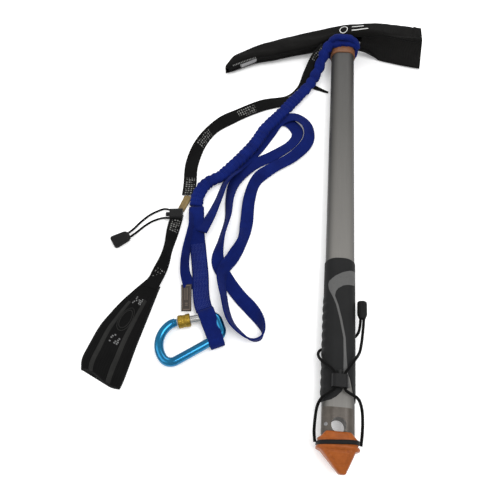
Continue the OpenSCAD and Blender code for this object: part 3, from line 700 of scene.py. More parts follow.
def quad_patch(corners, rows, cols, lift, z_mid, thick):
    """A closed thin patch between four floor corners, bowed by lift."""
    verts = []
    for face in (1, -1):
        for i in range(rows):
            for k in range(cols):
                u, v = k / (cols - 1), i / (rows - 1)
                spot = between(corners, u, v)
                bow = lift * math.sin(math.pi * u) * (0.6 + 0.4 * math.sin(3 * v))
                verts.append((spot[0], spot[1], z_mid + bow + face * thick / 2))
    n = rows * cols
    faces = []
    for i in range(rows - 1):
        for k in range(cols - 1):
            q = i * cols + k
            faces.append((q, q + cols, q + cols + 1, q + 1))
            faces.append((n + q, n + q + 1, n + q + cols + 1, n + q + cols))
    rim = list(range(cols)) + [(i + 1) * cols - 1 for i in range(1, rows)]
    rim += list(range(n - 2, n - cols - 1, -1)) + [i * cols for i in range(rows - 2, 0, -1)]
    for i, k in zip(rim, rim[1:] + rim[:1]):
        faces.append((i, k, k + n, i + n))
    return verts, faces


TAG = [(-169, 171), (-158, 173), (-153.5, 142), (-164, 141)]
verts, faces = quad_patch(TAG, 22, 9, 0.25, 7.0, 0.8)
tag = add_mesh("label_tag_cloth", floor_points(verts), faces)
dress(tag, "axe", "tag", tag_cloth, "label_tag")
prints = []
for u0, u1, v0, v1 in ((0.10, 0.16, 0.06, 0.94), (0.84, 0.90, 0.06, 0.94), (0.10, 0.90, 0.04, 0.07),
                       (0.10, 0.90, 0.93, 0.96), (0.32, 0.38, 0.14, 0.60), (0.46, 0.50, 0.14, 0.60),
                       (0.58, 0.64, 0.14, 0.60), (0.36, 0.64, 0.70, 0.73), (0.36, 0.64, 0.77, 0.80)):
    corners = [between(TAG, u, v) for u, v in ((u0, v0), (u1, v0), (u1, v1), (u0, v1))]
    verts, faces = quad_patch(corners, 10, 3, 0.0, 7.62, 0.12)
    prints.append(add_mesh("print", floor_points(verts), faces))
tag_marks = joined("label_tag_marks", prints)
dress(tag_marks, "axe", "tag", tag_print)


# ---- Carabiner: its bar follows the line that the CAD bar follows ----
BAR_D, BASKET_R, CORNER_R, END_R, END_REACH = 9.5, 25.0, 10.0, 8.0, 41.0
HINGE_BACK, FORK_LONG, NOSE_ROOT = 6.5, 5.7, 0.8
SPINE_ANGLE, GATE_ANGLE = 36.0, 17.0
BASKET_AT, SPINE_AT, GATE_AT = np.array([-156.0, 107.0]), np.array([-146.0, 99.0]), np.array([-164.0, 129.0])


def heading(degrees):
    return np.array([math.cos(math.radians(degrees)), math.sin(math.radians(degrees))])


def angle_of(v):
    return math.degrees(math.atan2(v[1], v[0]))


def fillet(line, normal, radius, turn):
    """The centre of the round corner between a straight side and the basket."""
    d = float((BASKET_AT - line) @ normal)
    a = math.degrees(math.acos((radius - d) / (BASKET_R - radius)))
    return BASKET_AT + (BASKET_R - radius) * heading(angle_of(normal) + turn * a)


def arc(at, radius, start, end):
    return [at + radius * heading(a) for a in np.linspace(start, end, max(3, int(abs(end - start) / 3)))]


spine_normal, gate_normal = heading(SPINE_ANGLE + 90), -heading(GATE_ANGLE + 90)
low_at, top_at = fillet(SPINE_AT, spine_normal, CORNER_R, 1), fillet(GATE_AT, gate_normal, CORNER_R, -1)
end_angle = (SPINE_ANGLE + GATE_ANGLE) / 2
end_way = heading(end_angle)
end_line = float(end_way @ BASKET_AT) + END_REACH - END_R
gate_corner = np.linalg.solve([gate_normal, end_way], [gate_normal @ GATE_AT + END_R, end_line])
spine_corner = np.linalg.solve([spine_normal, end_way], [spine_normal @ SPINE_AT + END_R, end_line])
gate_start = top_at - gate_normal * CORNER_R
hinge_reach = float(np.linalg.norm(gate_corner - gate_normal * END_R - gate_start)) - HINGE_BACK
low_touch, top_touch = angle_of(low_at - BASKET_AT), angle_of(top_at - BASKET_AT)
bar_line = [gate_start + (hinge_reach + FORK_LONG) * heading(GATE_ANGLE)]
bar_line += arc(gate_corner, END_R, GATE_ANGLE + 90, end_angle)
bar_line += arc(spine_corner, END_R, end_angle, SPINE_ANGLE - 90)
bar_line += arc(low_at, CORNER_R, SPINE_ANGLE - 90, low_touch)
bar_line += arc(BASKET_AT, BASKET_R, low_touch, top_touch - 360)
bar_line += arc(top_at, CORNER_R, top_touch - 360, GATE_ANGLE - 270)
bar_line.append(gate_start + NOSE_ROOT * heading(GATE_ANGLE))
bar_points = [bar_line[0]]
for spot in bar_line[1:]:
    gap = float(np.linalg.norm(spot - bar_points[-1]))
    if gap > 0.3:
        steps = max(1, round(gap / 1.2))
        bar_points += [bar_points[-1] + (spot - bar_points[-1]) * k / steps for k in range(1, steps + 1)]
bar_path = floor_points([[x, y, BAR_Z, 0] for x, y in bar_points])
turns = np.linspace(0, TAU, 36, endpoint=False)
ring = np.stack([np.cos(turns), np.sin(turns)], 1) * BAR_D / 2 * MM
bar = sweep("carabiner_bar", bar_path, np.broadcast_to(ring[None], (len(bar_path), *ring.shape)))
dress(bar, "axe", "anodised", anodised, "carabiner")


# ---- Screw sleeve: two knurled collars and a faceted middle ----
def lathe(name, profile, sides, shape, place):
    """Turns a closed profile of (along, radius) points; shape gives the real radius at an angle."""
    rings = []
    for s, r in profile:
        real = [(a, shape(s, a, r)) for a in np.linspace(0, TAU, sides, endpoint=False)]
        rings.append([(s, true_r * math.cos(a), true_r * math.sin(a)) for a, true_r in real])
    return loft(name, place, rings, True)


def gate_points(points):
    """Points (along, across, up) on the gate's line, in millimetres, as metres in the row frame."""
    s, across, up = np.array(points, float).T[:, :, None]
    flat = gate_start + s * heading(GATE_ANGLE) + across * heading(GATE_ANGLE + 90)
    return floor_points(np.hstack([flat, BAR_Z + up]))


SLEEVE_FROM, SLEEVE_LONG, SLEEVE_BORE = 4.2, 13.0, 4.2
KNURLED = ((0.7, 4.5), (8.4, 12.3))


def sleeve_radius(s, angle, radius):
    if radius < 5:
        return radius
    at = s - SLEEVE_FROM
    if any(a <= at <= b for a, b in KNURLED):
        return radius - 0.22 * (0.5 + 0.5 * math.cos(30 * angle)) * (0.5 + 0.5 * math.cos(TAU * at / 1.3))
    if KNURLED[0][1] < at < KNURLED[1][0]:
        facet = TAU / 8
        return min(radius, 6.35 / math.cos((angle % facet) - facet / 2))
    return radius


low_knurl, top_knurl = ([(start + 0.2 * k, 6.98) for k in range(1, 19)] for start, _ in KNURLED)
outer = [(0.0, 5.9), (0.3, 6.5), (0.7, 6.95), *low_knurl, (4.5, 6.9), (4.8, 6.6), (5.6, 6.75), (6.5, 6.8)]
outer += [(7.4, 6.75), (8.1, 6.6), (8.4, 6.9), *top_knurl, (12.3, 6.95), (12.7, 6.5), (SLEEVE_LONG, 5.9)]
bore = [(SLEEVE_LONG, SLEEVE_BORE), (0, SLEEVE_BORE)]
profile = [(SLEEVE_FROM + s, r) for s, r in outer + bore]
sleeve = lathe("gold_screw_sleeve", profile, 120, sleeve_radius, gate_points)
dress(sleeve, "sleeve", "sleeve", gold, "screw_sleeve")


# ---- Head cover: a lofted pouch, open along its lower edge, measured in the axe's frame ----
COVER_X = (-161.0, 111.0)
COVER_WALL, END_THICK = 1.2, 0.8
COVER_LEAN = 8.0
COVER_COLS, COVER_ROWS = 72, 150


def step_between(x, a, b):
    t = min(1.0, max(0.0, (x - a) / (b - a)))
    return t * t * (3 - 2 * t)


def cover_top(x):
    tip = 11.0 * max(0.0, (-148 - x) / 13) ** 2
    return (581 - 24 * x * x / 10000 if x < 0 else 581 - 13 * (x / 111) ** 1.25) - tip


def cover_low(x):
    if x < 0:
        droop = 6.0 * step_between(x, -128, -90) * (1 - step_between(x, -50, -14))
        return 557 - 0.05 * abs(x) - 0.0019 * x * x - droop
    return 557 - 19 * step_between(x, 18, 125) ** 0.8


def cover_depth(x):
    """Front and back of the pouch, as heights over the axe's own middle plane."""
    tip = 3.6 * max(0.0, (-140 - x) / 21) ** 2
    front = 9.3 - tip + 15.0 * step_between(x, -75, 48)
    back = tip - 9.3 - 3.6 * step_between(x, -32, -12)
    back += (-21.4 - 3.1 * (x - 54) / 57 - back) * step_between(x, 26, 60)
    return front, back


def cover_place(x, y, z):
    """A point of the cover, with its wide end leaning back towards the upper face."""
    front, back = cover_depth(x)
    share = min(1.0, max(0.0, (z - back) / (front - back)))
    return x - COVER_LEAN * share * max(0.0, (x - 54) / 57), y, z


def cover_slit(x):
    return float(np.interp(x, [-161, -24, -16, 34, 52, 111], [3.9, 3.9, 10.6, 10.6, 21.2, 21.6]))


def cover_power(x):
    """How square the pouch is across: rounder along the pick, boxy round the adze."""
    return 3.4 + 5 * step_between(x, 20, 60)


def wrinkle(x, y):
    """Shallow folds of the cloth on its upper face, in millimetres."""
    long_folds = noise.noise(Vector((x * 0.018, y * 0.085, 2.0))) * 1.5
    cross_folds = noise.noise(Vector((x * 0.075, y * 0.030, 7.0))) * 0.7
    fine = noise.noise(Vector((x * 0.16, y * 0.16, 4.0))) * 0.25
    seam = -1.0 * math.exp(-((x - 97 - 0.05 * (y - 555)) / 1.3) ** 2)
    ridge = 0.9 * math.exp(-((x - 100.5 - 0.05 * (y - 555)) / 1.6) ** 2)
    crease = -1.4 * math.exp(-((y - 553 + 0.09 * (x - 40)) / 2.2) ** 2) * step_between(x, 30, 45)
    sag = -1.3 * math.exp(-((x + 55) / 45) ** 2) * math.exp(-((y - 566) / 9) ** 2)
    return long_folds + cross_folds + fine + seam + ridge + crease + sag


def cover_point(x, angle, inset):
    front, back = cover_depth(x)
    top, low = cover_top(x) - inset, cover_low(x)
    half_y, half_z = (top - low) / 2, (front - back) / 2 - inset
    power = cover_power(x)
    c, s = math.cos(angle), math.sin(angle)
    y = (top + low) / 2 + half_y * rounded(s, 2 / power)
    z = (front + back) / 2 + half_z * rounded(c, 2 / power)
    face = max(0.0, (z - (front + back) / 2) / max(half_z, 0.1))
    return y, z + min(0.6, wrinkle(x, y)) * face ** 2


def slit_angle(x):
    """How far round from the middle of the lower face the lips end."""
    front, back = cover_depth(x)
    power = cover_power(x)
    share = min(0.97, cover_slit(x) / ((front - back) / 2))
    return math.asin(share ** (power / 2))


cover_rings = []
for x in np.linspace(*COVER_X, COVER_ROWS):
    lip = slit_angle(x)
    around = np.linspace(-math.pi / 2 + lip, 1.5 * math.pi - lip, COVER_COLS)
    ring_out = [cover_point(x, a, 0.0) for a in around]
    ring_in = [cover_point(x, a, COVER_WALL) for a in around[::-1]]
    cover_rings.append([cover_place(x, y, z) for y, z in ring_out + ring_in])
cover = loft("head_cover_pouch", axe_points, cover_rings)
dress(cover, "cover", "cover", cloth, "cover_shell")


def wall_cap(x, name):
    """The closed cloth end of the pouch at x."""
    outline = [cover_point(x, a, 0.2) for a in np.linspace(-math.pi / 2, 1.5 * math.pi, 48, endpoint=False)]
    mid_y, mid_z = np.mean(outline, axis=0)
    away, outer_x = (1, x - END_THICK) if x > 0 else (-1, x)
    rings = []
    for inward, bulge in ((1.0, 0.0), (0.97, 0.7), (0.7, 0.9), (0.35, 0.8)):
        rings.append([(outer_x + away * bulge, mid_y + (y - mid_y) * inward, mid_z + (z - mid_z) * inward)
                      for y, z in outline])
    back_rings = [[(px - away * END_THICK, py, pz) for px, py, pz in ring] for ring in rings[::-1]]
    return loft(name, axe_points, [[cover_place(*spot) for spot in ring] for ring in back_rings + rings])


ends = joined("head_cover_ends", [wall_cap(COVER_X[1], "end_wide"), wall_cap(COVER_X[0], "end_narrow")])
dress(ends, "cover", "cover", cloth)

# Bound edges along both lips of the opening
lips = []
for face in (1, -1):
    spots = []
    for x in np.linspace(-157, 110, 60):
        lip = slit_angle(x)
        y, z = cover_point(x, -math.pi / 2 + lip if face > 0 else 1.5 * math.pi - lip, COVER_WALL / 2)
        spots.append((*cover_place(x, y + 0.2, z), 0))
    lip_path = smooth_path(axe_points(spots), 0.0015)
    lips.append(sweep("lip", lip_path, round_sections(lip_path, 0.0021, 12, 0.05), carried_frames(lip_path)))
binding = joined("head_cover_binding", lips)
dress(binding, "cover", "cover", black_plain)


def closing_panel(name, x_from, x_to, rows, sag, gap):
    """Loose cloth from lip to lip."""
    rings, across = [], np.linspace(0, 1, 20)
    for x in np.linspace(x_from, x_to, rows):
        front, back = cover_depth(x)
        middle, lip = (front + back) / 2, cover_slit(x) + gap
        row = []
        for face, way in ((0.0, across), (0.7, across[::-1])):
            for q in way:
                hang = sag * math.sin(math.pi * q) + 0.5 * noise.noise(Vector((x * 0.06, q * 4, 1.0)))
                row.append(cover_place(x, cover_low(x) + 0.9 - hang + face, middle + lip * (1 - 2 * q)))
        rings.append(row)
    obj = loft(name, axe_points, rings)
    dress(obj, "cover", "cover", cloth)
    anchor = axe_points([((x_from + x_to) / 2, cover_low(x_from), cover_slit(x_from) - 0.5)])[0]
    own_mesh(obj)


closing_panel("head_cover_gusset", 24.0, 110.6, 60, 1.4, 0.6)
closing_panel("head_cover_zip_tape", -158.0, -19.0, 90, 0.3, 0.5)


# ---- Zip teeth on both lips near the pick's tip ----
TEETH, TOOTH_FROM, TOOTH_STEP, TOOTH_Z = 15, -151, 2.1, 4.9
TOOTH_SIZE, TOOTH_TURN, TOOTH_POWER = (1.2, 1.9, 1.5), 0.35, 5.0


def zip_tooth(centre):
    """A small block with rounded edges, from a superellipse turned about the vertical."""
    rings = []
    for v in np.linspace(-math.pi / 2, math.pi / 2, 9):
        ring = []
        for u in np.linspace(0, TAU, 16, endpoint=False):
            p = [math.cos(v) * math.cos(u), math.cos(v) * math.sin(u), math.sin(v)]
            x, y, z = (rounded(c, 2 / TOOTH_POWER) * full / 2 for c, full in zip(p, TOOTH_SIZE))
            ring.append((centre[0] + x * math.cos(TOOTH_TURN) - y * math.sin(TOOTH_TURN),
                         centre[1] + x * math.sin(TOOTH_TURN) + y * math.cos(TOOTH_TURN), centre[2] + z))
        rings.append(ring)
    return loft("tooth", axe_points, rings)


tooth_xs = [TOOTH_FROM + TOOTH_STEP * k for k in range(TEETH)]
teeth = [zip_tooth((x, cover_low(x) - 0.3, face * TOOTH_Z)) for x in tooth_xs for face in (1, -1)]
zip_row = joined("cover_zip_teeth", teeth)
dress(zip_row, "cover", "zip", zip_metal, "cover_zip")


# ---- A plain printed mark on the cover: a ring and two bars ----
PRINT_LIFT = 0.16


def front_of_cover(x, y):
    """Height of the cover's upper face at a place on it."""
    front, back = cover_depth(x)
    top, low = cover_top(x), cover_low(x)
    power = cover_power(x)
    share = min(0.999, abs(2 * y - top - low) / (top - low))
    z = (front + back) / 2 + (front - back) / 2 * (1 - share ** power) ** (1 / power)
    face = (z - (front + back) / 2) / ((front - back) / 2)
    return z + min(0.6, wrinkle(x, y)) * face ** 2


def printed(name, outline_rows):
    """A thin print laid on the cover from rows of (x, y) pairs."""
    cols = len(outline_rows[0])
    verts = [(x, y, front_of_cover(x, y) + PRINT_LIFT) for row in outline_rows for x, y in row]
    faces = []
    for i in range(len(outline_rows) - 1):
        for k in range(cols - 1):
            q = i * cols + k
            faces.append((q, q + 1, q + cols + 1, q + cols))
    return add_mesh(name, axe_points(verts), faces)


RING_X, RING_Y = -1, 566
ring_turns = np.linspace(0, TAU, 49)
mark_parts = [printed("ring", [[(RING_X + r * math.cos(a), RING_Y + r * math.sin(a)) for a in ring_turns]
                               for r in (4.6, 5.5)])]
for y, x0, x1 in ((568.5, 10, 26), (562.5, 10, 32)):
    mark_parts.append(printed("bar", [[(x, y + dy) for x in np.linspace(x0, x1, 24)] for dy in (-0.6, 0.6)]))
cover_mark = joined("head_cover_print", mark_parts)
dress(cover_mark, "cover", "cover", white_print)


# ---- Spike cap: a collar with a lip, a flange and a triangular point with a framed panel ----
CAP_SIDES = 112
TIP_SHIFT = 4.0
PANEL_FRAME = 4.2


def capped_ring(y, half_x, half_z, power, shift=0.0, drop=0.0, panel=0.0):
    """One ring of the cap; drop lowers it at both sides, panel (0 to 1) presses in the point's two faces."""
    spots = []
    for a in np.linspace(0, TAU, CAP_SIDES, endpoint=False):
        c, s = math.cos(a), math.sin(a)
        x = half_x * rounded(c, 2 / power)
        z = half_z * rounded(s, 2 / power)
        if panel:
            edge = half_x - abs(x)
            ridge = 0.55 * math.exp(-((edge - PANEL_FRAME) / 0.55) ** 2)
            sunk = 1.25 * step_between(edge, PANEL_FRAME, PANEL_FRAME + 1.1)
            z += math.copysign((ridge - sunk) * panel * min(1.0, abs(z) / half_z) ** 4, z)
        side = step_between(abs(x) / half_x, 0.62, 1.0)
        spots.append((x + shift, y - drop * side, z))
    return spots


# The collar's rings, from its mouth to the flange: height, half width, half depth, squareness, drop
COLLAR = (
    (34.0, 16.1, 11.1, 3.6, 4.4), (34.7, 16.4, 11.5, 3.4, 4.6), (34.5, 16.9, 12.1, 3.3, 4.6),
    (33.2, 17.4, 12.9, 3.2, 3.8), (31.6, 18.0, 13.7, 3.2, 2.6), (29.8, 18.5, 14.3, 3.2, 1.1),
    (28.4, 18.6, 14.4, 3.2, 0.2), (27.9, 18.2, 14.1, 3.2, 0), (23.4, 18.2, 14.1, 3.2, 0),
    (22.9, 18.8, 14.4, 3.2, 0), (22.0, 19.5, 14.4, 3.2, 0), (20.9, 19.9, 14.0, 3.2, 0),
    (19.9, 19.6, 13.2, 3.2, 0), (19.2, 18.2, 12.4, 3.4, 0),
)
cap_rings = [capped_ring(y, half_x, half_z, power, drop=drop) for y, half_x, half_z, power, drop in COLLAR]
for t in np.linspace(0, 1, 40):
    y = 18.8 - 18.0 * t
    half_x = 15.9 - 12.4 * t
    half_z = 12.2 - 6.4 * t
    panel = step_between(t, 0.0, 0.08) * (1 - step_between(t, 0.60, 0.74))
    cap_rings.append(capped_ring(y, half_x, half_z, 5.5 - 1.5 * t, TIP_SHIFT * t, panel=panel))
cap_rings.append(capped_ring(0.25, 2.7, 4.6, 3.0, TIP_SHIFT))
cap_rings.append(capped_ring(0.0, 1.4, 3.0, 2.5, TIP_SHIFT))
BORE_FROM, BORE_LONG, BORE_SHIFT = 8.0, 25.0, 2.6
inside = [capped_ring(BORE_FROM + 0.4, 2.9, 2.3, 4.0, BORE_SHIFT)]
for t in np.linspace(0.15, 1, 8):
    half_x, half_z = 3.2 + 12.8 * t, 2.4 + 8.6 * min(1.0, t * 0.9)
    inside.append(capped_ring(BORE_FROM + BORE_LONG * t, half_x, half_z, 4.5, BORE_SHIFT * (1 - t),
                              drop=4.0 * (t > 0.99)))
cap = loft("spike_cap_rubber", axe_points, inside + cap_rings)
dress(cap, "cap", "cap", cap_rubber, "spike_cap")

BAND_HALF_X, BAND_HALF_Z, BAND_Y = 18.7, 14.55, 25.5
band_turns = np.linspace(0, TAU, 97)[:-1]
band_path = []
for a in band_turns:
    c, s = math.cos(a), math.sin(a)
    x = BAND_HALF_X * rounded(c, 0.62)
    band_path.append((x, BAND_Y + 1.4 * x / 19, BAND_HALF_Z * rounded(s, 0.62), 0))
band_path = axe_points(band_path)
band_t = unit(np.roll(band_path[:, :3], -1, 0) - np.roll(band_path[:, :3], 1, 0))
band_side = unit(np.array(axe_along)[None] - band_t * (band_t @ np.array(axe_along))[:, None])
section_turns = np.linspace(0, TAU, 16, endpoint=False)
band_section = np.stack([np.cos(section_turns) * 0.0019, np.sin(section_turns) * 0.0011], 1)
band = sweep("spike_cap_band", band_path, np.broadcast_to(band_section[None], (len(band_path), 16, 2)),
             (band_t, band_side, np.cross(band_side, band_t)), True)
dress(band, "cap", "cap_band", black_rubber, "cap_band")


# ---- Grip: a rubber skin with finger scallops, lobed ends and a lighter inlay ----
SHAFT_HALF_X, SHAFT_HALF_Z = 15.5, 10.5


def stadium(s, proud):
    """A point round the tube's oval outline, s from 0 to 1 from the middle of its upper side towards -X."""
    flat, radius = SHAFT_HALF_X - SHAFT_HALF_Z, SHAFT_HALF_Z
    total = 4 * flat + TAU * radius
    d = (s % 1.0) * total
    if d < flat:
        spot, out = (-d, radius), (0, 1)
    elif d < flat + math.pi * radius:
        a = math.pi / 2 + (d - flat) / radius
        out = (math.cos(a), math.sin(a))
        spot = (-flat + radius * out[0], radius * out[1])
    elif d < 3 * flat + math.pi * radius:
        spot, out = (-flat + d - flat - math.pi * radius, -radius), (0, -1)
    elif d < 3 * flat + TAU * radius:
        a = -math.pi / 2 + (d - 3 * flat - math.pi * radius) / radius
        out = (math.cos(a), math.sin(a))
        spot = (flat + radius * out[0], radius * out[1])
    else:
        spot, out = (flat - (d - 3 * flat - TAU * radius), radius), (0, 1)
    return spot[0] + out[0] * proud, spot[1] + out[1] * proud


def grip_low(x, z):
    """The grip's lower edge: a lobe on the left, a bare gap, and a narrow tail on the right."""
    upper = float(np.interp(x, [-16, -8, -3, 2, 5, 8, 10, 13, 16.5], [60.5, 62, 65, 70, 77, 86, 84, 72, 62]))
    return upper if z > 0 else 62.0


def grip_top(x, z):
    return 210.5 - 2.2 * (x / 16) ** 2 if z > 0 else 208.0


def scallop(x, y):
    """Finger grooves along the left edge of the grip's lower two thirds."""
    edge = step_between(-x, 9.0, 15.0) * step_between(y, 172, 158) * step_between(y, 62, 68)
    return 0.9 * edge * abs(math.sin(math.pi * y / 9.4))


GRIP_COLS, GRIP_ROWS = 120, 240
grip_rings = []
for k in range(GRIP_COLS):
    s = k / GRIP_COLS
    x0, z0 = stadium(s, 0.8)
    low, top = grip_low(x0, z0), grip_top(x0, z0)
    heights = [low + (top - low) * i / (GRIP_ROWS - 1) for i in range(GRIP_ROWS)]
    ring = []
    for y in heights:
        end = max(0.0, min(1.0, (y - low) / 1.2, (top - y) / 1.2))
        x, z = stadium(s, 0.12 + 0.75 * math.sqrt(1 - (1 - end) ** 2) + scallop(x0, y) * (0.35 + 0.65 * end))
        ring.append((x, y, z))
    x, z = stadium(s, 0.06)
    grip_rings.append(ring + [(x, y, z) for y in heights[::-1]])
grip = loft("grip_rubber_skin", axe_points, grip_rings, True)
dress(grip, "axe", "grip", grip_rubber, "grip")

# The inlay's left and right edges, as the tube's x at each height
INLAY_Y = [74, 88, 105, 122, 141, 156, 166, 171, 174.5, 178.2, 179.6, 180.5, 183, 188.5, 193, 196.5, 197]
INLAY_LEFT = [5, 3.5, 3.6, 3.2, -0.5, -4.3, -8.3, -10.8, -12, -12.6, -12.7, -12.6, -12, -6, 1.5, 12, 15.8]
INLAY_RIGHT = [10.5, 7.7, 6.4, 5.5, 1.9, -1.9, -5.6, -4.6, -2.3, 3.4, 12] + 6 * [15.9]


def upper_place(x, proud):
    """The place on the tube's upper skin that is x from its middle."""
    flat, radius = SHAFT_HALF_X - SHAFT_HALF_Z, SHAFT_HALF_Z
    if abs(x) <= flat:
        return x, radius + proud
    a = min(1.0, (abs(x) - flat) / (radius + proud))
    return x, math.sqrt(max(0.0, 1 - a * a)) * (radius + proud)


INLAY_FROM, INLAY_TO, INLAY_COLS = 74.3, 197, 26
inlay_rows = np.linspace(INLAY_FROM + 0.2, INLAY_TO - 0.2, 170)
inlay_rings = []
for y in inlay_rows:
    left = float(np.interp(y, INLAY_Y, INLAY_LEFT))
    wide = float(np.interp(y, INLAY_Y, INLAY_RIGHT)) - left
    shares = [k / (INLAY_COLS - 1) for k in range(INLAY_COLS)]
    ring = []
    for q in shares:
        rim = max(0.0, min(1.0, q / 0.08, (1 - q) / 0.08, (y - INLAY_FROM) / 0.8, (INLAY_TO - y) / 0.8))
        ring.append(upper_place(left + wide * q, 0.82 + 0.28 * math.sqrt(max(0.0, 1 - (1 - rim) ** 2))))
    ring += [upper_place(left + wide * q, 0.5) for q in shares[::-1]]
    inlay_rings.append([(x, y, z) for x, z in ring])
inlay = loft("grip_inlay_swoosh", axe_points, inlay_rings)
dress(inlay, "axe", "inlay", inlay_rubber, "grip_inlay")


# ---- Cord pulls: ribbed rubber barrels ----
BARREL_SIDES = 96


def ribbed_barrel(name, length, radii, ribs, depth, place, flatten=1.0):
    """A pull along Y: radii are (share of length, radius), with ribs along it."""
    rings = []
    at, size = zip(*radii)
    power = 2 / (2 + 1.6 * (flatten < 1))
    for t in np.linspace(0, 1, 44):
        r = float(np.interp(t, at, size))
        rib = step_between(t, 0.24, 0.32) * (1 - step_between(t, 0.86, 0.92))
        ring = []
        for a in np.linspace(0, TAU, BARREL_SIDES, endpoint=False):
            real = r - depth * rib * (0.5 + 0.5 * math.cos(ribs * a)) ** 3
            c, s = math.cos(a), math.sin(a)
            ring.append((real * rounded(c, power), length * t, flatten * real * rounded(s, power)))
        rings.append(ring)
    return loft(name, place, rings)


def at_cap_pull(spots):
    return axe_points([(x + 23, y + 146, z + 2) for x, y, z in spots])


PULL = [
    (0, 2.6), (0.03, 3.4), (0.2, 4.6), (0.26, 5.0), (0.9, 5.0), (0.96, 4.7), (0.99, 3.9), (1, 3.0),
]
cap_pull = ribbed_barrel("cap_pull_barrel", 19, PULL, 14, 0.45, at_cap_pull)
dress(cap_pull, "cap", "pull", black_rubber, "cap_pull")

PULL_ANGLE = math.radians(217 - 90)


def at_wrist_pull(spots):
    turned = [(-239.5 + x * math.cos(PULL_ANGLE) - y * math.sin(PULL_ANGLE),
               228.5 + x * math.sin(PULL_ANGLE) + y * math.cos(PULL_ANGLE), 4.2 + z) for x, y, z in spots]
    return floor_points(turned)


WRIST_PULL = [
    (0, 3.0), (0.03, 4.4), (0.12, 6.0), (0.2, 6.6), (0.85, 7.9), (0.93, 7.6), (0.98, 6.6), (1, 5.4),
]
wrist_pull = ribbed_barrel("wrist_pull_grip", 21, WRIST_PULL, 16, 0.5, at_wrist_pull, 0.5)
dress(wrist_pull, "axe", "pull", black_rubber, "wrist_pull")

# ---- Keeper: a folded tan loop of stiff webbing ----
KEEPER = [(-185.5, 290), (-176.5, 289), (-183, 267.8), (-191, 268.6)]
verts, faces = quad_patch(KEEPER, 24, 13, 0.0, 1.2, 2.2)
half = len(verts) // 2
bent = []
for i, (x, y, z) in enumerate(verts):
    q = (i % 13) / 12
    bent.append((x, y, z + (1.5 * math.exp(-((q - 0.42) / 0.12) ** 2) + 0.5 * (q > 0.42)) * (i < half)))
keeper = add_mesh("leash_keeper", floor_points(bent), faces)
dress(keeper, "axe", "keeper", tan, "wrist_keeper")

# ---- Loose webbing end beside the hitch ----
tail_route = [
    [-41, 491, 1.5, 0], [-35, 488, 1.4, 0], [-28, 485, 1.3, 0], [-21, 482.2, 1.0, 0],
    [-16.6, 481, 0.9, 0],
]
tail_path = smooth_path(floor_points(tail_route), 0.001)
tail_sections = web_sections(tail_path, 0.0085, 0.0013, 6)
tail_sections[..., 0] *= np.linspace(1.0, 0.35, len(tail_path))[:, None]
tail = sweep("leash_loose_end", tail_path, tail_sections)
web_uv(tail, len(tail_path))
dress(tail, "axe", "leash", black_plain, "webbing_tail")


# ---- Wrist cuff: a padded double strap with two grey bands and a raised oval ----
cuff_left = [
    [-208, 176.5], [-215, 168], [-230, 149], [-241, 131], [-248, 117], [-253.5, 98], [-257, 83],
    [-255, 71],
]
cuff_right = [
    [-192.5, 169], [-194, 161], [-198, 138], [-201.5, 118], [-205, 98], [-207.5, 80], [-210, 64],
    [-212, 56],
]
CUFF_ROWS, CUFF_COLS, CUFF_LONG = 110, 60, 0.12


def rail(points, share):
    """A place along a smooth line through the points."""
    path = smooth_path([[x, y, 0, 0] for x, y in points], 1.0)
    at = np.linspace(0, 1, len(path))
    return np.array([np.interp(share, at, path[:, 0]), np.interp(share, at, path[:, 1])])


left_rail = [rail(cuff_left, v) for v in np.linspace(0, 1, CUFF_ROWS)]
right_rail = [rail(cuff_right, v) for v in np.linspace(0, 1, CUFF_ROWS)]


def cuff_top(u, v):
    """Height of the cuff's upper face at u across and v along."""
    edge = min(1.0, u / 0.09, (1 - u) / 0.09, v / 0.03, (1 - v) / 0.025)
    crown = 0.8 * math.sin(math.pi * u) - 0.5 * (1 - step_between(v, 0, 0.15))
    channel = 0.7 * (math.exp(-((u - 0.235) / 0.02) ** 2) + math.exp(-((u - 0.765) / 0.02) ** 2))
    quilt = 0.25 * noise.noise(Vector((u * 6, v * 16, 3.0)))
    oval = 0.75 * step_between(1 - ((u - 0.5) / 0.17) ** 2 - ((v - 0.44) / 0.12) ** 2, 0.0, 0.25)
    top = 5.6 + crown - channel * step_between(v, 0.1, 0.2) + quilt + oval
    return 0.6 + (top - 0.6) * math.sqrt(max(0.0, 1 - (1 - max(0.0, edge)) ** 2))


def cuff_spot(u, v, lift=0.0):
    i = v * (CUFF_ROWS - 1)
    k = min(CUFF_ROWS - 2, int(i))
    a = left_rail[k] + (left_rail[k + 1] - left_rail[k]) * (i - k)
    b = right_rail[k] + (right_rail[k + 1] - right_rail[k]) * (i - k)
    spot = a * (1 - u) + b * u
    wave = 2.2 * math.sin(math.pi * u * 2.0) * step_between(v, 0.93, 1.0)
    return spot[0], spot[1] + wave, cuff_top(u, v) + lift


cuff_rings, cuff_across = [], np.linspace(0, 1, CUFF_COLS)
for i in range(CUFF_ROWS):
    top_row = [cuff_spot(u, i / (CUFF_ROWS - 1)) for u in cuff_across]
    low_row = [(x, y, max(0.15, 0.5 - 0.4 * math.sin(math.pi * u)))
               for u, (x, y, _) in zip(cuff_across, top_row)]
    cuff_rings.append(top_row + low_row[::-1])
cuff = loft("wrist_cuff_padded", floor_points, cuff_rings,
            uv=mirrored_uv(CUFF_ROWS, CUFF_COLS, CUFF_LONG / CUFF_ROWS))
dress(cuff, "axe", "cuff", black_plain, "wrist_cuff")


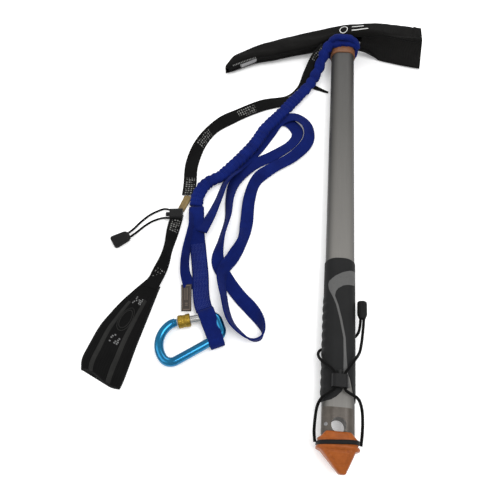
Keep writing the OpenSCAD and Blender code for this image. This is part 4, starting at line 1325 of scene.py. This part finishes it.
def cuff_strip(u_at, v_from, v_to=0.985, width=0.105, lift=0.35, thick=0.7):
    """A band sewn on the cuff, following its surface."""
    rings, rows, cols = [], 70, 9
    for v in np.linspace(v_from, v_to, rows):
        row = []
        for k in range(cols):
            u = u_at + width * (k / (cols - 1) - 0.5)
            rim = min(1, k, cols - 1 - k)
            row.append(cuff_spot(u, v, lift * (0.3 + 0.7 * rim)))
        rings.append(row + [(x, y, z - thick) for x, y, z in row[::-1]])
    return loft("band", floor_points, rings, uv=mirrored_uv(rows, cols, 0.0015))


bands = joined("wrist_cuff_bands", [cuff_strip(0.27, 0.28), cuff_strip(0.72, 0.20)])
dress(bands, "axe", "cuff", grey_band)
BLOCK_U, BLOCK_V = 0.042, 0.0115
BLOCK_FACES = [(0, 3, 2, 1), (4, 5, 6, 7), (0, 1, 5, 4), (1, 2, 6, 5), (2, 3, 7, 6), (3, 0, 4, 7)]
blocks = []
for u0, v0, cols, rows in ((0.36, 0.205, 5, 5), (0.40, 0.60, 4, 5)):
    for i in range(rows):
        for k in range(cols):
            if noise.noise(Vector((i * 1.7 + v0 * 9, k * 2.3, 5.0))) < -0.18:
                continue
            u, v = u0 + 0.058 * k + 0.012 * (i % 2), v0 + 0.0165 * i
            spans = ((0, 0), (BLOCK_U, 0), (BLOCK_U, BLOCK_V), (0, BLOCK_V))
            corners = [cuff_spot(u + du, v + dv, 0.12) for du, dv in spans]
            low = [(x, y, z - 0.3) for x, y, z in corners]
            blocks.append(add_mesh("block", floor_points(corners + low), BLOCK_FACES, smooth=False))
woven_blocks = joined("wrist_cuff_woven_blocks", blocks)
dress(woven_blocks, "axe", "cuff", grey_print)
ringed = []
for grow in (1.0, 0.78):
    loop_points = [cuff_spot(0.5 + 0.165 * grow * math.cos(a), 0.44 + 0.115 * grow * math.sin(a), 0.1)
                   for a in np.linspace(0, TAU, 61)]
    ring_path = smooth_path(floor_points([[*p, 0] for p in loop_points]), 0.0008)[:-1]
    sections = round_sections(ring_path, 0.0009, 8, 0.0)
    ringed.append(sweep("oval", ring_path, sections, carried_frames(ring_path), True))
oval_rings = joined("wrist_cuff_oval", ringed)
dress(oval_rings, "axe", "cuff", grey_band)

# The strap fans out and is sewn on to the top of the cuff
FAN_LEFT = [(-202.5, 190), (-204.5, 183), (-208.5, 172.5), (-211.5, 166)]
FAN_RIGHT = [(-191.5, 190), (-191.3, 183), (-192.8, 172), (-194.5, 163)]
fan_rows, fan_cols, fan_rings = 26, 15, []
for v in np.linspace(0, 1, fan_rows):
    a, b = rail(FAN_LEFT, v), rail(FAN_RIGHT, v)
    height = 4.4 + 1.6 * step_between(v, 0.1, 0.75)
    row = []
    for u in np.linspace(0, 1, fan_cols):
        row.append((*(a * (1 - u) + b * u), height + 0.5 * math.sin(math.pi * u)))
    fan_rings.append(row + [(x, y, z - 1.2) for x, y, z in row[::-1]])
fan = loft("wrist_cuff_tongue", floor_points, fan_rings, uv=mirrored_uv(fan_rows, fan_cols, 0.001))
dress(fan, "axe", "cuff", black_plain)


# ---- CAD pieces that stay: their materials and softened edges ----
KEPT = {
    "shaft": (tube, 0.0003), "collar_ring": (orange_ring, 0.0005), "head": (steel, 0.0004),
    "head_pin": (steel, 0), "ferrule": (ferrule_steel, 0.0008), "spike_pin": (steel, 0),
    "cap_lock": (black_plastic, 0.0009), "cap_plunger": (grey_plastic, 0.0004), "cap_spring": (wire, 0),
    "bar_ends": (anodised, 0.0004), "gate": (polished, 0.0004), "gate_pin": (steel, 0),
    "gate_spring": (wire, 0), "wrist_lock": (black_plastic, 0.0008),
    "wrist_plunger": (black_plastic, 0.0005), "wrist_spring": (wire, 0),
}
for node, (mat, soft_edge) in KEPT.items():
    node_obj = bpy.data.objects[node]
    node_obj.data.materials.clear()
    node_obj.data.materials.append(mat)
    if soft_edge:
        bevel = node_obj.modifiers.new("soft_edges", "BEVEL")
        bevel.width = soft_edge
        bevel.segments = 3
        bevel.limit_method = "ANGLE"
        bevel.angle_limit = math.radians(40)

# ---- Floor and lights ----
def area_light(name, at, aim, size, power):
    data = bpy.data.lights.new(name, "AREA")
    data.shape = "SQUARE"
    data.size = size
    data.energy = power
    obj = bpy.data.objects.new(name, data)
    obj.location = at
    obj.rotation_mode = "QUATERNION"
    obj.rotation_quaternion = (Vector(aim) - Vector(at)).to_track_quat("-Z", "Y")
    bpy.context.scene.collection.objects.link(obj)


floor = add_mesh("floor", [(-4, -4, 0), (4, -4, 0), (4, 4, 0), (-4, 4, 0)], [(0, 1, 2, 3)], smooth=False)
floor_mat, _, floor_shader = new_material("floor", 0.9, specular=0.1)
floor_look = {"Base Color": (0.95, 0.95, 0.95, 1), "Emission Color": (1, 1, 1, 1), "Emission Strength": 0.2}
for socket, value in floor_look.items():
    floor_shader.inputs[socket].default_value = value
floor.data.materials.append(floor_mat)
area_light("key", (0.5, -0.3, 1.5), (0, 0.05, 0), 0.9, 13)
area_light("fill", (-1.2, -0.5, 1.1), (0, 0, 0), 1.2, 7)
area_light("back", (0.1, 1.4, 1.3), (0, 0.1, 0), 1.2, 9)
world = bpy.data.worlds.new("studio")
world.use_nodes = True
sky = world.node_tree.nodes["Background"].inputs
sky["Color"].default_value = (1, 1, 1, 1)
sky["Strength"].default_value = 0.72
bpy.context.scene.world = world
bpy.context.scene.view_settings.view_transform = "Standard"
